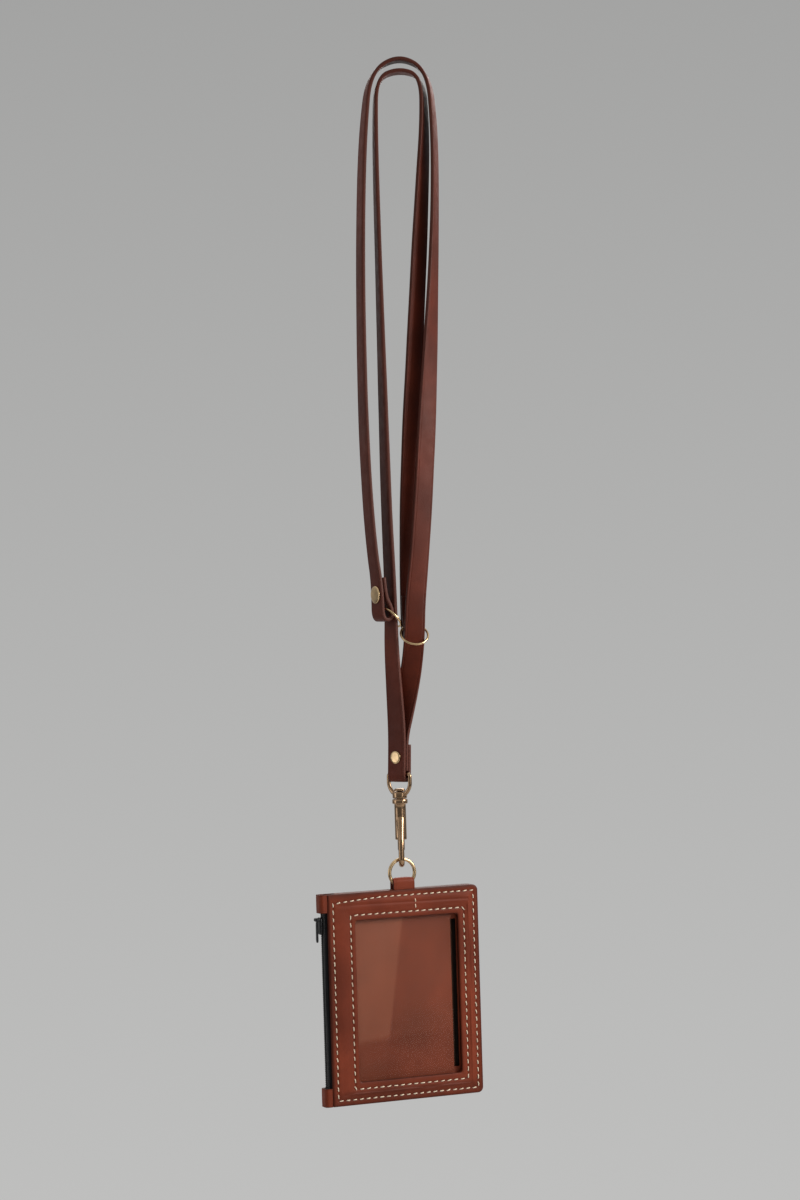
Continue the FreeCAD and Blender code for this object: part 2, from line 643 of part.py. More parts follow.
def route_length(route):
    """Length of a strap along its middle line."""
    places = [at for at, ahead, turn in route_line(route)]
    return sum((q - p).Length for p, q in zip(places, places[1:]))


def tightest_bend(route):
    """Smallest radius of a strap's middle line, from each three points in a row."""
    places = [at for at, ahead, turn in route_line(route)]
    radii = []
    for p, q, r in zip(places, places[1:], places[2:]):
        area = (q - p).cross(r - p).Length
        if area > 0:
            radii.append((q - p).Length * (r - q).Length * (r - p).Length / (2 * area))
    return min(radii)


def adjuster_ring(place):
    """Round wire ring, tilted so that the side in the strap's loop is high."""
    across, up, away, turn = place
    angle = math.radians(turn + VIEW_TURN)
    face = V(math.sin(angle), -math.cos(angle), 0)
    tilt = math.radians(ADJUSTER_TILT)
    normal = V(0, 0, math.cos(tilt)) - face * math.sin(tilt)
    return Part.makeTorus(ADJUSTER_RADIUS, ADJUSTER_WIRE / 2, hung(across, up, away), normal)


def crossing(route, up, downward):
    """Place and face direction where a strap's middle line passes a height.

    The first such place is taken along the route, going down or going up.
    """
    line = route_line(route)
    for (p, ahead, turn), (q, after, later) in zip(line, line[1:]):
        if (p.z > up >= q.z) if downward else (p.z <= up < q.z):
            at = p + (q - p) * ((up - p.z) / (q.z - p.z))
            angle = math.radians(turn + VIEW_TURN)
            across = V(math.cos(angle), math.sin(angle), 0)
            return at, ahead.cross(across).normalize()
    raise ValueError("the strap doesn't reach this height")


def rivet(top, bottom, face, radius, play):
    """Two round caps and a post through strap layers, grown by play for its seat."""
    face = face if face.dot(top - bottom) > 0 else -face
    depth = (top - bottom).dot(face)
    out = STRAP_THICKNESS / 2 + RIVET_PLAY
    start = top - face * (depth + out)
    post = Part.makeCylinder(RIVET_POST_RADIUS + play, depth + 2 * out, start, face)
    cap = Part.makeCylinder(radius + play, RIVET_CAP_HEIGHT, top + face * (out - play), face)
    back = Part.makeCylinder(RIVET_BACK_RADIUS + play, RIVET_CAP_HEIGHT,
                             start + face * play, -face)
    return post.fuse([cap, back]).removeSplitter()


def rivet_sites():
    """Outer layer, inner layer, face and cap radius of the three rivets."""
    front, face = crossing(LEFT_ROUTE[3:], HOOK_RIVET_UP, False)
    tail = crossing(LEFT_ROUTE[:4], HOOK_RIVET_UP, True)[0]
    sites = {"hook_rivet": (front, tail, face, HOOK_RIVET_RADIUS)}
    for name, route, up in (("left_adjuster_rivet", RIGHT_ROUTE, LEFT_RIVET_UP),
                            ("right_adjuster_rivet", LEFT_ROUTE, RIGHT_RIVET_UP)):
        outer, face = crossing(route[-LOOP_POINTS:], up, True)
        inner = crossing(route[-LOOP_POINTS:], up, False)[0]
        sites[name] = (outer, inner, face, ADJUSTER_RIVET_RADIUS)
    return sites


def lanyard():
    """Two straps with their rivets and adjuster rings."""
    left = strap(LEFT_ROUTE)
    right = strap(RIGHT_ROUTE)
    for name, route, solid in (("left", LEFT_ROUTE, left), ("right", RIGHT_ROUTE, right)):
        length = route_length(route)
        share = solid.Volume / (length * STRAP_WIDTH * STRAP_THICKNESS)
        print(name, "strap: length", round(length, 1), "tightest bend", round(tightest_bend(route), 2),
              "volume over section times length", round(share, 3), "valid", solid.isValid())
    pieces = {}
    for name, (outer, inner, face, radius) in rivet_sites().items():
        pieces[name] = rivet(outer, inner, face, radius, 0)
        seat = rivet(outer, inner, face, radius, RIVET_PLAY)
        left = left.cut(seat)
        right = right.cut(seat)
    pieces["left_strap"] = left
    pieces["right_strap"] = right
    pieces["left_adjuster_ring"] = adjuster_ring(LEFT_RING_AT)
    pieces["right_adjuster_ring"] = adjuster_ring(RIGHT_RING_AT)
    return pieces


def snap():
    """The bolt snap and the ring that it holds."""
    return {
        "swivel_eye": swivel_eye(),
        "swivel_pin": swivel_pin(),
        "snap_hook": snap_hook(),
        "snap_bolt": snap_bolt(),
        "bolt_knob": bolt_knob(),
        "bolt_spring": bolt_spring(),
        "tab_ring": tab_ring(),
    }


def wallet():
    """The wallet's leather, film and zip."""
    back_tape = POCKET_BACK - TAPE_THICKNESS
    pieces = {
        "front_panel": front_panel(),
        "window_film": window_film(),
        "pocket_welt": pocket_welt(),
        "card_backing": card_backing(),
        "edge_welt": edge_welt(),
        "pocket_lining": pocket_lining(),
        "back_panel": back_panel(),
        "hang_tab": hang_tab(),
        "tab_filler": tab_filler(),
        "zip_tape_front": zip_tape(PANEL_THICKNESS),
        "zip_tape_back": zip_tape(back_tape),
        "zip_teeth_front": zip_coil(PANEL_THICKNESS + TAPE_THICKNESS),
        "zip_teeth_back": zip_coil(back_tape - COIL_DEPTH),
        "zip_top_tab": zip_end_tab(WALLET_HEIGHT - END_TAB_HEIGHT),
        "zip_bottom_tab": zip_end_tab(0),
        "zip_slider": zip_slider(),
        "zip_pull": zip_pull(),
    }
    return {name: at_wallet(shape) for name, shape in pieces.items()}


def main():
    os.makedirs("parts", exist_ok=True)
    for name, shape in {**lanyard(), **snap(), **wallet()}.items():
        shape.exportStep(f"parts/{name}.step")
        print(name, len(shape.Solids), "solid", round(shape.Volume, 1), "mm3 valid", shape.isValid())
    pivot = pull_pivot() + WALLET_CORNER
    print("snap axis", SNAP_AXIS, "ring centre", RING_CENTRE, "ring top", RING_TOP)
    print("wallet corner", WALLET_CORNER, "pull pivot", pivot)


main()
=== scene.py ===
"""Looks of a leather badge wallet on its lanyard, laid out as an add-on and run as a script.

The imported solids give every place. Sizes are in millimetres until a mesh is made, in metres.
"""
import math

import bmesh
import bpy
import numpy as np
from mathutils import Matrix, Vector


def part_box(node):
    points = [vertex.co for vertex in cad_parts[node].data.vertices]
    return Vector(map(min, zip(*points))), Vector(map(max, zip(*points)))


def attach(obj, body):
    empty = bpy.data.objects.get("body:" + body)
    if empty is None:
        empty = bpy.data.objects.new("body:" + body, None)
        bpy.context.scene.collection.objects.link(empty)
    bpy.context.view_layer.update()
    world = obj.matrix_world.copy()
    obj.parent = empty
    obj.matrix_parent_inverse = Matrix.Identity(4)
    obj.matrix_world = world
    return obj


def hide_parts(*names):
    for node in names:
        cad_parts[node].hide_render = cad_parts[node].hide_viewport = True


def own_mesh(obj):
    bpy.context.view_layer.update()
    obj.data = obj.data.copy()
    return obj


bl_info = {
    "name": "Badge wallet looks",
    "version": (1, 0, 0),
    "blender": (4, 5, 0),
    "location": "3D View > Sidebar > Badge wallet",
    "description": "Dresses the packed badge wallet with leather, brass, thread and film",
    "category": "Object",
}

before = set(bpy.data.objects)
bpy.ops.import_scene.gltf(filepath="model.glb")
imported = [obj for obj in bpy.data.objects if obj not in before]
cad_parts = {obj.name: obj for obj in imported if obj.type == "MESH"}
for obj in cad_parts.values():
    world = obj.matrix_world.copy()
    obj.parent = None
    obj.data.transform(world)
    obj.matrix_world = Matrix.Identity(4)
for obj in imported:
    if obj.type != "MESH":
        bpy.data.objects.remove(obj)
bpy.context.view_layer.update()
MM = 0.001
X_AXIS, Y_AXIS, Z_AXIS = np.eye(3)
VIEW_TURN = math.radians(-24.0)

# Strap routes, as seen from the front: across, up, away and the turn of the strap's width
LEFT_ROUTE = [
    (-9.2, -363.0, 1.85, -39.5), (-9.5, -372.0, 1.8, -39.5), (-9.85, -382.0, 1.85, -39.5),
    (-12.75, -382.0, -1.85, -39.5), (-12.3, -372.0, -1.75, -39.5), (-11.7, -356.0, -1.8, -40.0),
    (-12.5, -334.0, -1.5, -45.0), (-13.3, -312.0, -0.6, -53.0), (-13.1, -296.0, 0.05, -58.0),
    (-13.0, -281.0, 0.2, -61.0), (-13.3, -262.0, 0.2, -64.0), (-13.8, -235.0, 0.0, -66.5),
    (-13.9, -195.0, 0.0, -69.5), (-14.0, -150.0, 0.0, -74.0), (-14.1, -105.0, 0.0, -79.0),
    (-14.1, -64.0, 0.0, -81.0), (-13.8, -32.0, 0.0, -83.0), (-12.6, -6.5, 0.0, -86.0),
    (0.0, -2.0, 0.0, -90.0), (12.3, -6.5, 0.0, -100.0), (12.7, -32.0, 0.0, -110.0),
    (10.5, -64.0, 0.2, -123.0), (7.4, -105.0, 0.6, -134.0), (4.0, -150.0, 1.4, -138.0),
    (0.5, -195.0, 2.8, -142.0), (-1.6, -235.0, 4.2, -149.0), (-2.4, -262.0, 4.6, -156.0),
    (-2.5, -280.0, 4.7, -162.0), (-2.6, -293.5, 4.9, -166.0), (-2.4, -305.6, 4.9, -168.0),
    (-1.15, -305.6, -0.8, -168.0), (-1.15, -299.0, -0.8, -168.0), (-2.0, -293.5, 2.7, -166.0),
    (-1.9, -283.5, 2.55, -162.0),
]
RIGHT_ROUTE = [
    (-11.0, -377.0, 0.0, -219.5), (-10.8, -369.0, 0.0, -219.5), (-10.4, -359.0, 0.0, -218.5),
    (-7.8, -347.0, 1.2, -208.0), (-5.2, -334.0, 1.6, -196.0), (-2.4, -319.0, -1.2, -183.0),
    (-0.7, -303.5, -3.25, -168.0), (0.1, -287.0, -2.6, -161.0), (2.9, -264.0, -1.2, -155.0),
    (5.9, -233.0, -0.5, -149.0), (8.9, -195.0, 0.0, -145.0), (12.3, -150.0, 0.0, -128.0),
    (15.4, -105.0, 0.0, -110.0), (17.4, -64.0, 0.0, -104.0), (17.7, -32.0, 0.0, -103.0),
    (15.6, -3.5, 0.0, -98.0), (0.0, 5.4, 0.0, -90.0), (-16.2, -3.5, 0.0, -80.0),
    (-20.0, -32.0, 0.0, -74.0), (-22.2, -64.0, 0.0, -73.0), (-23.8, -105.0, -0.3, -72.0),
    (-24.6, -150.0, -0.8, -70.0), (-24.7, -195.0, -1.6, -68.0), (-23.6, -235.0, -2.6, -67.0),
    (-21.8, -262.0, -3.6, -65.0), (-20.4, -273.0, -3.9, -63.0), (-19.9, -283.5, -4.2, -60.0),
    (-19.9, -296.0, -4.25, -58.0), (-15.05, -296.0, -1.2, -58.0), (-15.05, -289.4, -1.2, -58.0),
    (-18.0, -284.0, -3.05, -60.0), (-18.4, -273.5, -2.9, -63.0),
]


def corner_mm(node, which):
    """One corner of a node's box, in millimetres: 0 is the low corner and 1 the high one."""
    return np.array(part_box(node)[which], dtype=float) / MM


def box_mm(node):
    """Low and high corners of a node's box, in millimetres."""
    return corner_mm(node, 0), corner_mm(node, 1)


def wallet_box(node):
    """Low and high corners of a node's box, measured from the wallet's own low corner."""
    return [corner - WALLET_LOW for corner in box_mm(node)]


WALLET_LOW = corner_mm("front_panel", 0)
WALLET_SIZE = corner_mm("back_panel", 1) - WALLET_LOW
PANEL = corner_mm("front_panel", 1)[1] - WALLET_LOW[1]
FILM_LOW, FILM_HIGH = wallet_box("window_film")
TAB_LOW, TAB_HIGH = wallet_box("hang_tab")
RING_LOW, RING_HIGH = box_mm("tab_ring")
SNAP_AXIS = sum(box_mm("snap_bolt")) / 2


def size_property(name, description, default, least):
    """A property for a length in millimetres."""
    return bpy.props.FloatProperty(name=name, description=description, default=default, min=least)


def colour_property(name, description, default):
    """A property for a colour, as linear values."""
    return bpy.props.FloatVectorProperty(
        name=name, description=description, subtype="COLOR", default=default)


class BadgeSizes(bpy.types.PropertyGroup):
    """Sizes of the finish that a user may change, in millimetres."""

    stitch_pitch: size_property("Stitch pitch", "Distance from one stitch to the next", 3.9, 2.0)
    stitch_length: size_property("Stitch length", "Length of thread that shows in a stitch", 2.55, 1.0)
    thread_radius: size_property("Thread radius", "Half the thread's thickness", 0.29, 0.1)
    stitch_inset: size_property("Stitch inset", "Distance of the seam from the outer edge", 3.0, 1.0)
    strap_width: size_property("Strap width", "Width of the lanyard's straps", 11.2, 4.0)
    strap_thickness: size_property("Strap thickness", "Thickness of the lanyard's leather", 2.0, 0.5)
    window_corner: size_property("Window corner", "Radius of the window's corners", 1.6, 0.2)
    coil_pitch: size_property("Coil pitch", "Distance from one zip coil turn to the next", 1.15, 0.5)


class BadgeColours(bpy.types.PropertyGroup):
    """Colours of the finishes, as linear values."""

    wallet: colour_property("Wallet leather", "Middle colour of the wallet's leather", (0.152, 0.028, 0.0118))
    strap: colour_property("Strap leather", "Middle colour of the straps", (0.089, 0.0172, 0.0086))
    thread: colour_property("Thread", "Colour of the sewing thread", (0.80, 0.66, 0.49))
    brass: colour_property("Snap brass", "Colour of the aged brass of the snap", (0.33, 0.212, 0.125))
    caps: colour_property("Bright brass", "Colour of the rivet caps and rings", (0.62, 0.44, 0.245))
    zip_black: colour_property("Zip", "Colour of the zip's tape and teeth", (0.006, 0.006, 0.007))
    backdrop: colour_property("Backdrop", "Plain grey of the background", (0.45, 0.45, 0.445))


def sizes():
    """The add-on's sizes."""
    return bpy.context.scene.badge_sizes


def colours():
    """The add-on's colours."""
    return bpy.context.scene.badge_colours


def hung(points):
    """Points as seen from the front (across, up, away), turned into the wallet's own axes."""
    across, up, away = np.asarray(points, dtype=float).T[:3]
    cos, sin = math.cos(VIEW_TURN), math.sin(VIEW_TURN)
    return np.stack([across * cos - away * sin, across * sin + away * cos, up], axis=1)


def unit(vectors):
    """Vectors scaled to length one."""
    vectors = np.asarray(vectors, dtype=float)
    return vectors / np.linalg.norm(vectors, axis=-1, keepdims=True)


def quads(rows, columns, wrap_rows=False, wrap_columns=False):
    """Four corners of every cell of a grid whose points are numbered row by row."""
    r = np.arange(rows if wrap_rows else rows - 1)
    c = np.arange(columns if wrap_columns else columns - 1)
    r0, c0 = np.meshgrid(r, c, indexing="ij")
    r1, c1 = (r0 + 1) % rows, (c0 + 1) % columns
    cells = np.stack([r0 * columns + c0, r0 * columns + c1, r1 * columns + c1, r1 * columns + c0], axis=-1)
    return cells.reshape(-1, 4)


def capped(rows, columns):
    """Faces of a tube of rows of points, with a flat cap at each end."""
    first = list(range(columns))[::-1]
    last = list(range((rows - 1) * columns, rows * columns))
    return list(quads(rows, columns, wrap_columns=True)) + [first, last]


def round_angles(count):
    """Even angles of a full turn."""
    return np.linspace(0, 2 * math.pi, count, endpoint=False)


def unit_grid(rows, columns):
    """Two grids that run from 0 to 1, one along the rows and one along the columns."""
    return np.meshgrid(np.linspace(0, 1, rows), np.linspace(0, 1, columns), indexing="ij")


def run_along(path):
    """Distance of each point of a path from its start, along the path."""
    return np.r_[0, np.cumsum(np.linalg.norm(np.diff(path, axis=0), axis=1))]


def placed(name, mesh, material, body, replaced):
    """An object of a finished mesh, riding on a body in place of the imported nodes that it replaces."""
    mesh.shade_smooth()
    mesh.materials.clear()
    mesh.materials.append(material)
    obj = bpy.data.objects.new(name, mesh)
    bpy.context.scene.collection.objects.link(obj)
    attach(obj, body)
    if replaced:
        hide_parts(*replaced)
    return obj


def piece(name, points, faces, material, body, replaced=(), uv=None, edge=None):
    """A finished mesh from points in millimetres, with its thread or edge finish, riding on a body."""
    mesh = bpy.data.meshes.new(name)
    points = np.asarray(points, dtype=float)
    mesh.from_pydata((points * MM).tolist(), [], outward(points - points[0], faces))
    mesh.update()
    if uv is not None:
        loops = np.empty(len(mesh.loops), dtype=np.int32)
        mesh.loops.foreach_get("vertex_index", loops)
        layer = mesh.uv_layers.new(name="UVMap")
        layer.data.foreach_set("uv", np.asarray(uv, dtype=np.float32)[loops].ravel())
    if edge is not None:
        attribute = mesh.attributes.new("edge", "FLOAT", "POINT")
        attribute.data.foreach_set("value", np.asarray(edge, dtype=np.float32))
    return placed(name, mesh, material, body, replaced)


def outward(points, faces):
    """Faces of a closed surface, turned round if they look inwards."""
    points = np.asarray(points, dtype=float)
    alike = {}
    for face in faces:
        alike.setdefault(len(face), []).append(face)
    volume = 0.0
    for group in alike.values():
        corners = points[np.array(group)]
        fans = np.cross(corners[:, 1:-1], corners[:, 2:])
        volume += np.sum(fans * corners[:, :1])
    return [[int(i) for i in face][::1 if volume >= 0 else -1] for face in faces]


def joined(parts):
    """Several (points, faces) groups as one, each looking outwards, with the faces renumbered."""
    points, faces, start = [], [], 0
    for part_points, part_faces in parts:
        points.append(np.asarray(part_points, dtype=float))
        faces.extend([[i + start for i in face] for face in outward(part_points, part_faces)])
        start += len(part_points)
    return np.concatenate(points), faces


def tube(path, side, sections):
    """Sections carried along a path: each has its own closed profile, in side and normal directions.

    path is N points, side a unit vector across it or N of them, sections N by M by 2 offsets. Ends
    are capped.
    """
    path = np.asarray(path, dtype=float)
    ahead = unit(np.gradient(path, axis=0))
    side = unit(side - ahead * np.sum(side * ahead, axis=1, keepdims=True))
    normal = np.cross(ahead, side)
    points = path[:, None] + side[:, None] * sections[..., :1] + normal[:, None] * sections[..., 1:]
    return points.reshape(-1, 3), [face[::-1] for face in capped(*sections.shape[:2])]


def slab(x, front, back, z):
    """Points and faces of a thin sheet: a front and a back grid, joined round their rims."""
    points = np.concatenate([np.stack([x, depth, z], axis=-1).reshape(-1, 3) for depth in (front, back)])
    rows, columns = x.shape
    face = quads(rows, columns)
    size = rows * columns
    rim = np.concatenate([np.arange(columns), np.arange(1, rows) * columns + columns - 1,
                          (rows - 1) * columns + np.arange(columns - 2, -1, -1),
                          np.arange(rows - 2, 0, -1) * columns])
    after = np.roll(rim, -1)
    sides = np.stack([after, rim, rim + size, after + size], axis=1)
    return points, np.concatenate([face, face[:, ::-1] + size, sides])


def raised(base, rows):
    """Profile points from rows of (radius, height over a base)."""
    return [(radius, base + up) for radius, up in rows]


def revolve(profile, base=(0, 0, 0), axis=(0, 0, 1), turns=48, hollow=False):
    """A profile of (radius, height) points turned about an axis; a hollow one closes on itself.

    Any other has a flat cap at each end.
    """
    profile = np.asarray(profile, dtype=float)
    axis = unit(axis)
    first = unit(np.cross(axis, [0.3, 0.2, 0.9] if abs(axis[2]) < 0.9 else [1.0, 0.0, 0.0]))
    second = np.cross(axis, first)
    angle = round_angles(turns)
    circle = np.cos(angle)[:, None] * first + np.sin(angle)[:, None] * second
    points = np.asarray(base) + profile[:, None, :1] * circle[None] + profile[:, None, 1:] * axis
    faces = quads(len(profile), turns, True, True) if hollow else capped(len(profile), turns)
    return points.reshape(-1, 3), faces


def torus(centre, axis, radius, wire, turns=96, rounds=20):
    """Round wire bent into a ring about an axis."""
    axis = unit(axis)
    first = unit(np.cross(axis, [0.31, 0.95, 0.12]))
    second = np.cross(axis, first)
    a = round_angles(turns)[:, None, None]
    b = round_angles(rounds)[None, :, None]
    out = np.cos(a) * first + np.sin(a) * second
    points = np.asarray(centre) + out * (radius + wire * np.cos(b)) + axis * (wire * np.sin(b))
    return points.reshape(-1, 3), quads(turns, rounds, True, True)


def rounded_box(half, power, rows=20, columns=36):
    """A superellipsoid: a box with soft edges, of the given half sizes and squareness.

    Each coordinate is a cosine or sine raised to two over the power, with its sign kept.
    """
    up = np.linspace(-math.pi / 2, math.pi / 2, rows + 2)[1:-1, None]
    around = round_angles(columns)[None, :]

    def bent(value):
        return np.sign(value) * np.abs(value) ** (2 / power)

    x = half[0] * bent(np.cos(up)) * bent(np.cos(around))
    y = half[1] * bent(np.cos(up)) * bent(np.sin(around))
    z = half[2] * bent(np.sin(up) / np.sin(up[-1])) * np.ones_like(around)
    return np.stack([x, y, z], axis=-1).reshape(-1, 3), capped(rows, columns)


def frame_loop(x0, x1, z0, z1, left_radius, right_radius, side=44, bend=7):
    """Closed loop round a rectangle in the wallet's face, with the same count on every size."""
    legs = []
    quarter = np.linspace(0, math.pi / 2, bend)
    corners = (((x1, z0), right_radius, -math.pi / 2), ((x1, z1), right_radius, 0.0),
               ((x0, z1), left_radius, math.pi / 2), ((x0, z0), left_radius, math.pi))
    for (cx, cz), radius, turn in corners:
        mx = cx - radius if cx == x1 else cx + radius
        mz = cz - radius if cz == z1 else cz + radius
        angle = quarter + turn
        legs.append(np.stack([mx + radius * np.cos(angle), mz + radius * np.sin(angle)], axis=1))
    loop = []
    for leg, after in zip(legs, legs[1:] + legs[:1]):
        run = np.linspace(0, 1, side + 2)[1:-1, None]
        loop.extend([leg, leg[-1] + (after[0] - leg[-1]) * run])
    return np.concatenate(loop)


def start_finish(name, **sockets):
    """A new material whose main shader has the given plain socket values."""
    material = bpy.data.materials.new(name)
    material.use_nodes = True
    tree = material.node_tree
    shader = tree.nodes["Principled BSDF"]
    for key, value in sockets.items():
        shader.inputs[key.replace("_", " ")].default_value = value
    return material, tree, shader


def add(tree, kind, inputs=None, **settings):
    """A node with its settings and inputs; an input that is a socket is linked."""
    made = tree.nodes.new("ShaderNode" + kind)
    for key, value in settings.items():
        setattr(made, key, value)
    for key, value in (inputs or {}).items():
        if isinstance(value, bpy.types.NodeSocket):
            tree.links.new(value, made.inputs[key])
        else:
            made.inputs[key].default_value = value
    return made


def noise(tree, place, scale, detail=3.0, rough=0.55):
    """Noise of a given scale on a place socket."""
    made = add(tree, "TexNoise", {"Vector": place, "Scale": scale, "Detail": detail, "Roughness": rough})
    return made.outputs["Fac"]


def spread(tree, value, low, high, to_low=0.0, to_high=1.0):
    """A value moved from one range to another and kept inside it."""
    made = add(tree, "MapRange", {"Value": value, "From Min": low, "From Max": high, "To Min": to_low,
                                  "To Max": to_high})
    return made.outputs["Result"]


def blend_colour(tree, factor, first, second):
    """Mix of two colours, each a socket or a plain colour."""
    return add(tree, "Mix", {0: factor, 6: first, 7: second}, data_type="RGBA").outputs[2]


def total(tree, first, second, operation="ADD"):
    """Sum, or another sum-like result, of two values."""
    return add(tree, "Math", {0: first, 1: second}, operation=operation).outputs[0]


def tint(colour, share):
    """A colour made lighter or darker, with its alpha."""
    return tuple(min(1.0, c * share) for c in colour) + (1.0,)


def link(tree, shader, **sockets):
    """Sockets joined to the shader's inputs of the same names."""
    for key, socket in sockets.items():
        tree.links.new(socket, shader.inputs[key.replace("_", " ")])


def emboss(tree, shader, height, strength, depth):
    """Fine relief from a height socket, with its depth in metres."""
    bump = add(tree, "Bump", {"Height": height, "Strength": strength, "Distance": depth})
    link(tree, shader, Normal=bump.outputs["Normal"])


# Pale colour laid on the leather behind the window: a painted reflection of a soft light in the film
FILM_REFLECTION_COLOUR = (0.40, 0.150, 0.085, 1.0)
FILM_DARK = (0.18, 0.064, 0.034, 1.0)
FILM_PALE = (0.24, 0.10, 0.058, 1.0)
# Paler, greyer colour for the straps' rounded edges: a painted highlight along them
STRAP_EDGE_HIGHLIGHT = (0.075, 0.026, 0.019, 1.0)
# Near-black pocket lining; where it shows beside the window's film, its darkness is also painted shade
LINING_AND_GAP_SHADE = (0.016, 0.012, 0.010)
STEEL = (0.45, 0.45, 0.46)


def leather(name, colour, edge_and_highlight_colour, shine, grain=1.0, relief=0.32, film_reflection=False):
    """Waxed leather: broad tone, small mottling, pores, fine creases, polished dark edges, a painted edge
    highlight on the straps and a painted film reflection.
    """
    material, tree, shader = start_finish(name, Specular_IOR_Level=0.13)
    place = add(tree, "TexCoord").outputs["Object"]
    broad = noise(tree, place, 26.0, 2.0)
    mottle = noise(tree, place, 190.0, 4.0, 0.65)
    fine = noise(tree, place, 2600.0 * grain, 3.0, 0.6)
    pores = add(tree, "TexVoronoi", {"Vector": place, "Scale": 1250.0 * grain, "Randomness": 0.9})
    pulled = add(tree, "Mapping", {"Vector": place, "Scale": (1.0, 1.0, 0.28)}).outputs[0]
    creases = noise(tree, pulled, 520.0, 5.0, 0.7)
    tone = blend_colour(tree, spread(tree, broad, 0.32, 0.68), tint(colour, 0.68), tint(colour, 1.27))
    tone = blend_colour(tree, spread(tree, mottle, 0.40, 0.80, 0.0, 0.42), tone, tint(colour, 0.60))
    tone = blend_colour(tree, spread(tree, creases, 0.58, 0.74, 0.0, 0.22), tone, tint(colour, 1.45))
    edge = add(tree, "Attribute", attribute_name="edge").outputs["Fac"]
    # Edge colour by the edge attribute: a polished darker edge on the wallet, a painted highlight on the
    # straps
    burnish_and_highlight = total(tree, edge, spread(tree, mottle, 0.25, 0.75, 0.75, 1.0), "MULTIPLY")
    tone = blend_colour(tree, burnish_and_highlight, tone, edge_and_highlight_colour)
    # Painted reflection of the film, as paleness on the leather behind the window
    if film_reflection:
        tone = blend_colour(tree, painted_film_reflection(tree, place), tone, FILM_REFLECTION_COLOUR)
    dull = spread(tree, mottle, 0.3, 0.7, shine - 0.07, shine + 0.09)
    link(tree, shader, Base_Color=tone, Roughness=dull)
    dots = spread(tree, pores.outputs["Distance"], 0.0, 0.7, 0.0, 0.6)
    height = total(tree, dots, total(tree, fine, creases))
    emboss(tree, shader, height, relief, 0.00012)
    return material


def painted_film_reflection(tree, place):
    """Share of the painted reflection of the film, laid on the leather behind it as paleness: the upper left
    of the window, with a slanted right edge.
    """
    size = (FILM_HIGH - FILM_LOW) * MM
    start = -(FILM_LOW + WALLET_LOW) * MM / size
    mapped = add(tree, "Mapping", {"Vector": place, "Location": (start[0], 0, start[2]),
                                   "Scale": (1 / size[0], 1, 1 / size[2])}).outputs[0]
    parted = add(tree, "SeparateXYZ", {0: mapped}).outputs
    slanted = total(tree, parted["X"], total(tree, parted["Z"], -0.23, "MULTIPLY"))
    risen = total(tree, parted["Z"], total(tree, parted["X"], -0.05, "MULTIPLY"))
    beside = spread(tree, slanted, 0.28, 0.31, 0.34, 0.06)
    return total(tree, beside, spread(tree, risen, 0.225, 0.265, 0.15, 1.0), "MULTIPLY")


def aged_brass(name, colour):
    """Brass with darker patina patches, fine scratches and uneven polish."""
    material, tree, shader = start_finish(name, Metallic=1.0)
    place = add(tree, "TexCoord").outputs["Object"]
    patches = noise(tree, place, 150.0, 4.0, 0.6)
    specks = noise(tree, place, 3200.0, 3.0, 0.7)
    drawn = add(tree, "Mapping", {"Vector": place, "Scale": (1.0, 1.0, 0.12)}).outputs[0]
    scratches = noise(tree, drawn, 2400.0, 2.0, 0.6)
    tone = blend_colour(tree, spread(tree, patches, 0.40, 0.75), tint(colour, 1.12), tint(colour, 0.55))
    tone = blend_colour(tree, spread(tree, specks, 0.55, 0.80, 0.0, 0.25), tone, tint(colour, 0.45))
    link(tree, shader, Base_Color=tone, Roughness=spread(tree, patches, 0.3, 0.75, 0.15, 0.28))
    emboss(tree, shader, scratches, 0.03, 0.00003)
    return material


def twisted_thread(name, colour):
    """Waxed thread: twist stripes across each stitch, with light and dark plies."""
    material, tree, shader = start_finish(name, Roughness=0.62, Sheen_Weight=0.15)
    place = add(tree, "TexCoord")
    stripes = add(tree, "TexWave", {"Vector": place.outputs["UV"], "Scale": 1.6, "Distortion": 0.4},
                  bands_direction="DIAGONAL").outputs["Fac"]
    age = noise(tree, place.outputs["Object"], 160.0, 2.0)
    tone = blend_colour(tree, stripes, tint(colour, 0.70), tint(colour, 1.12))
    tone = blend_colour(tree, spread(tree, age, 0.45, 0.75, 0.0, 0.35), tone, tint(colour, 0.66))
    link(tree, shader, Base_Color=tone)
    emboss(tree, shader, stripes, 0.5, 0.00008)
    return material


def woven(name, colour, threads):
    """Close plain weave from two crossed wave patterns."""
    material, tree, shader = start_finish(name, Roughness=0.88, Specular_IOR_Level=0.2)
    place = add(tree, "TexCoord").outputs["Object"]
    warp, weft = (add(tree, "TexWave", {"Vector": place, "Scale": threads, "Distortion": 0.6},
                      bands_direction=axis).outputs["Fac"] for axis in "ZX")
    weave = total(tree, warp, weft, "MULTIPLY")
    patches = noise(tree, place, 260.0, 3.0)
    tone = blend_colour(tree, weave, tint(colour, 0.55), tint(colour, 1.9))
    tone = blend_colour(tree, spread(tree, patches, 0.4, 0.75, 0.0, 0.5), tone, tint(colour, 1.4))
    link(tree, shader, Base_Color=tone)
    emboss(tree, shader, weave, 0.45, 0.00012)
    return material


def moulded(name, colour, rough, metallic=0.0):
    """Moulded, enamelled or plain metal surface with a slight orange peel and handling marks."""
    material, tree, shader = start_finish(name, Metallic=metallic)
    place = add(tree, "TexCoord").outputs["Object"]
    marks = noise(tree, place, 420.0, 4.0, 0.65)
    tone = blend_colour(tree, spread(tree, marks, 0.35, 0.75), tint(colour, 0.8), tint(colour, 1.7))
    dull = spread(tree, marks, 0.3, 0.7, rough - 0.08, rough + 0.12)
    link(tree, shader, Base_Color=tone, Roughness=dull)
    emboss(tree, shader, noise(tree, place, 1600.0, 2.0), 0.12, 0.00006)
    return material


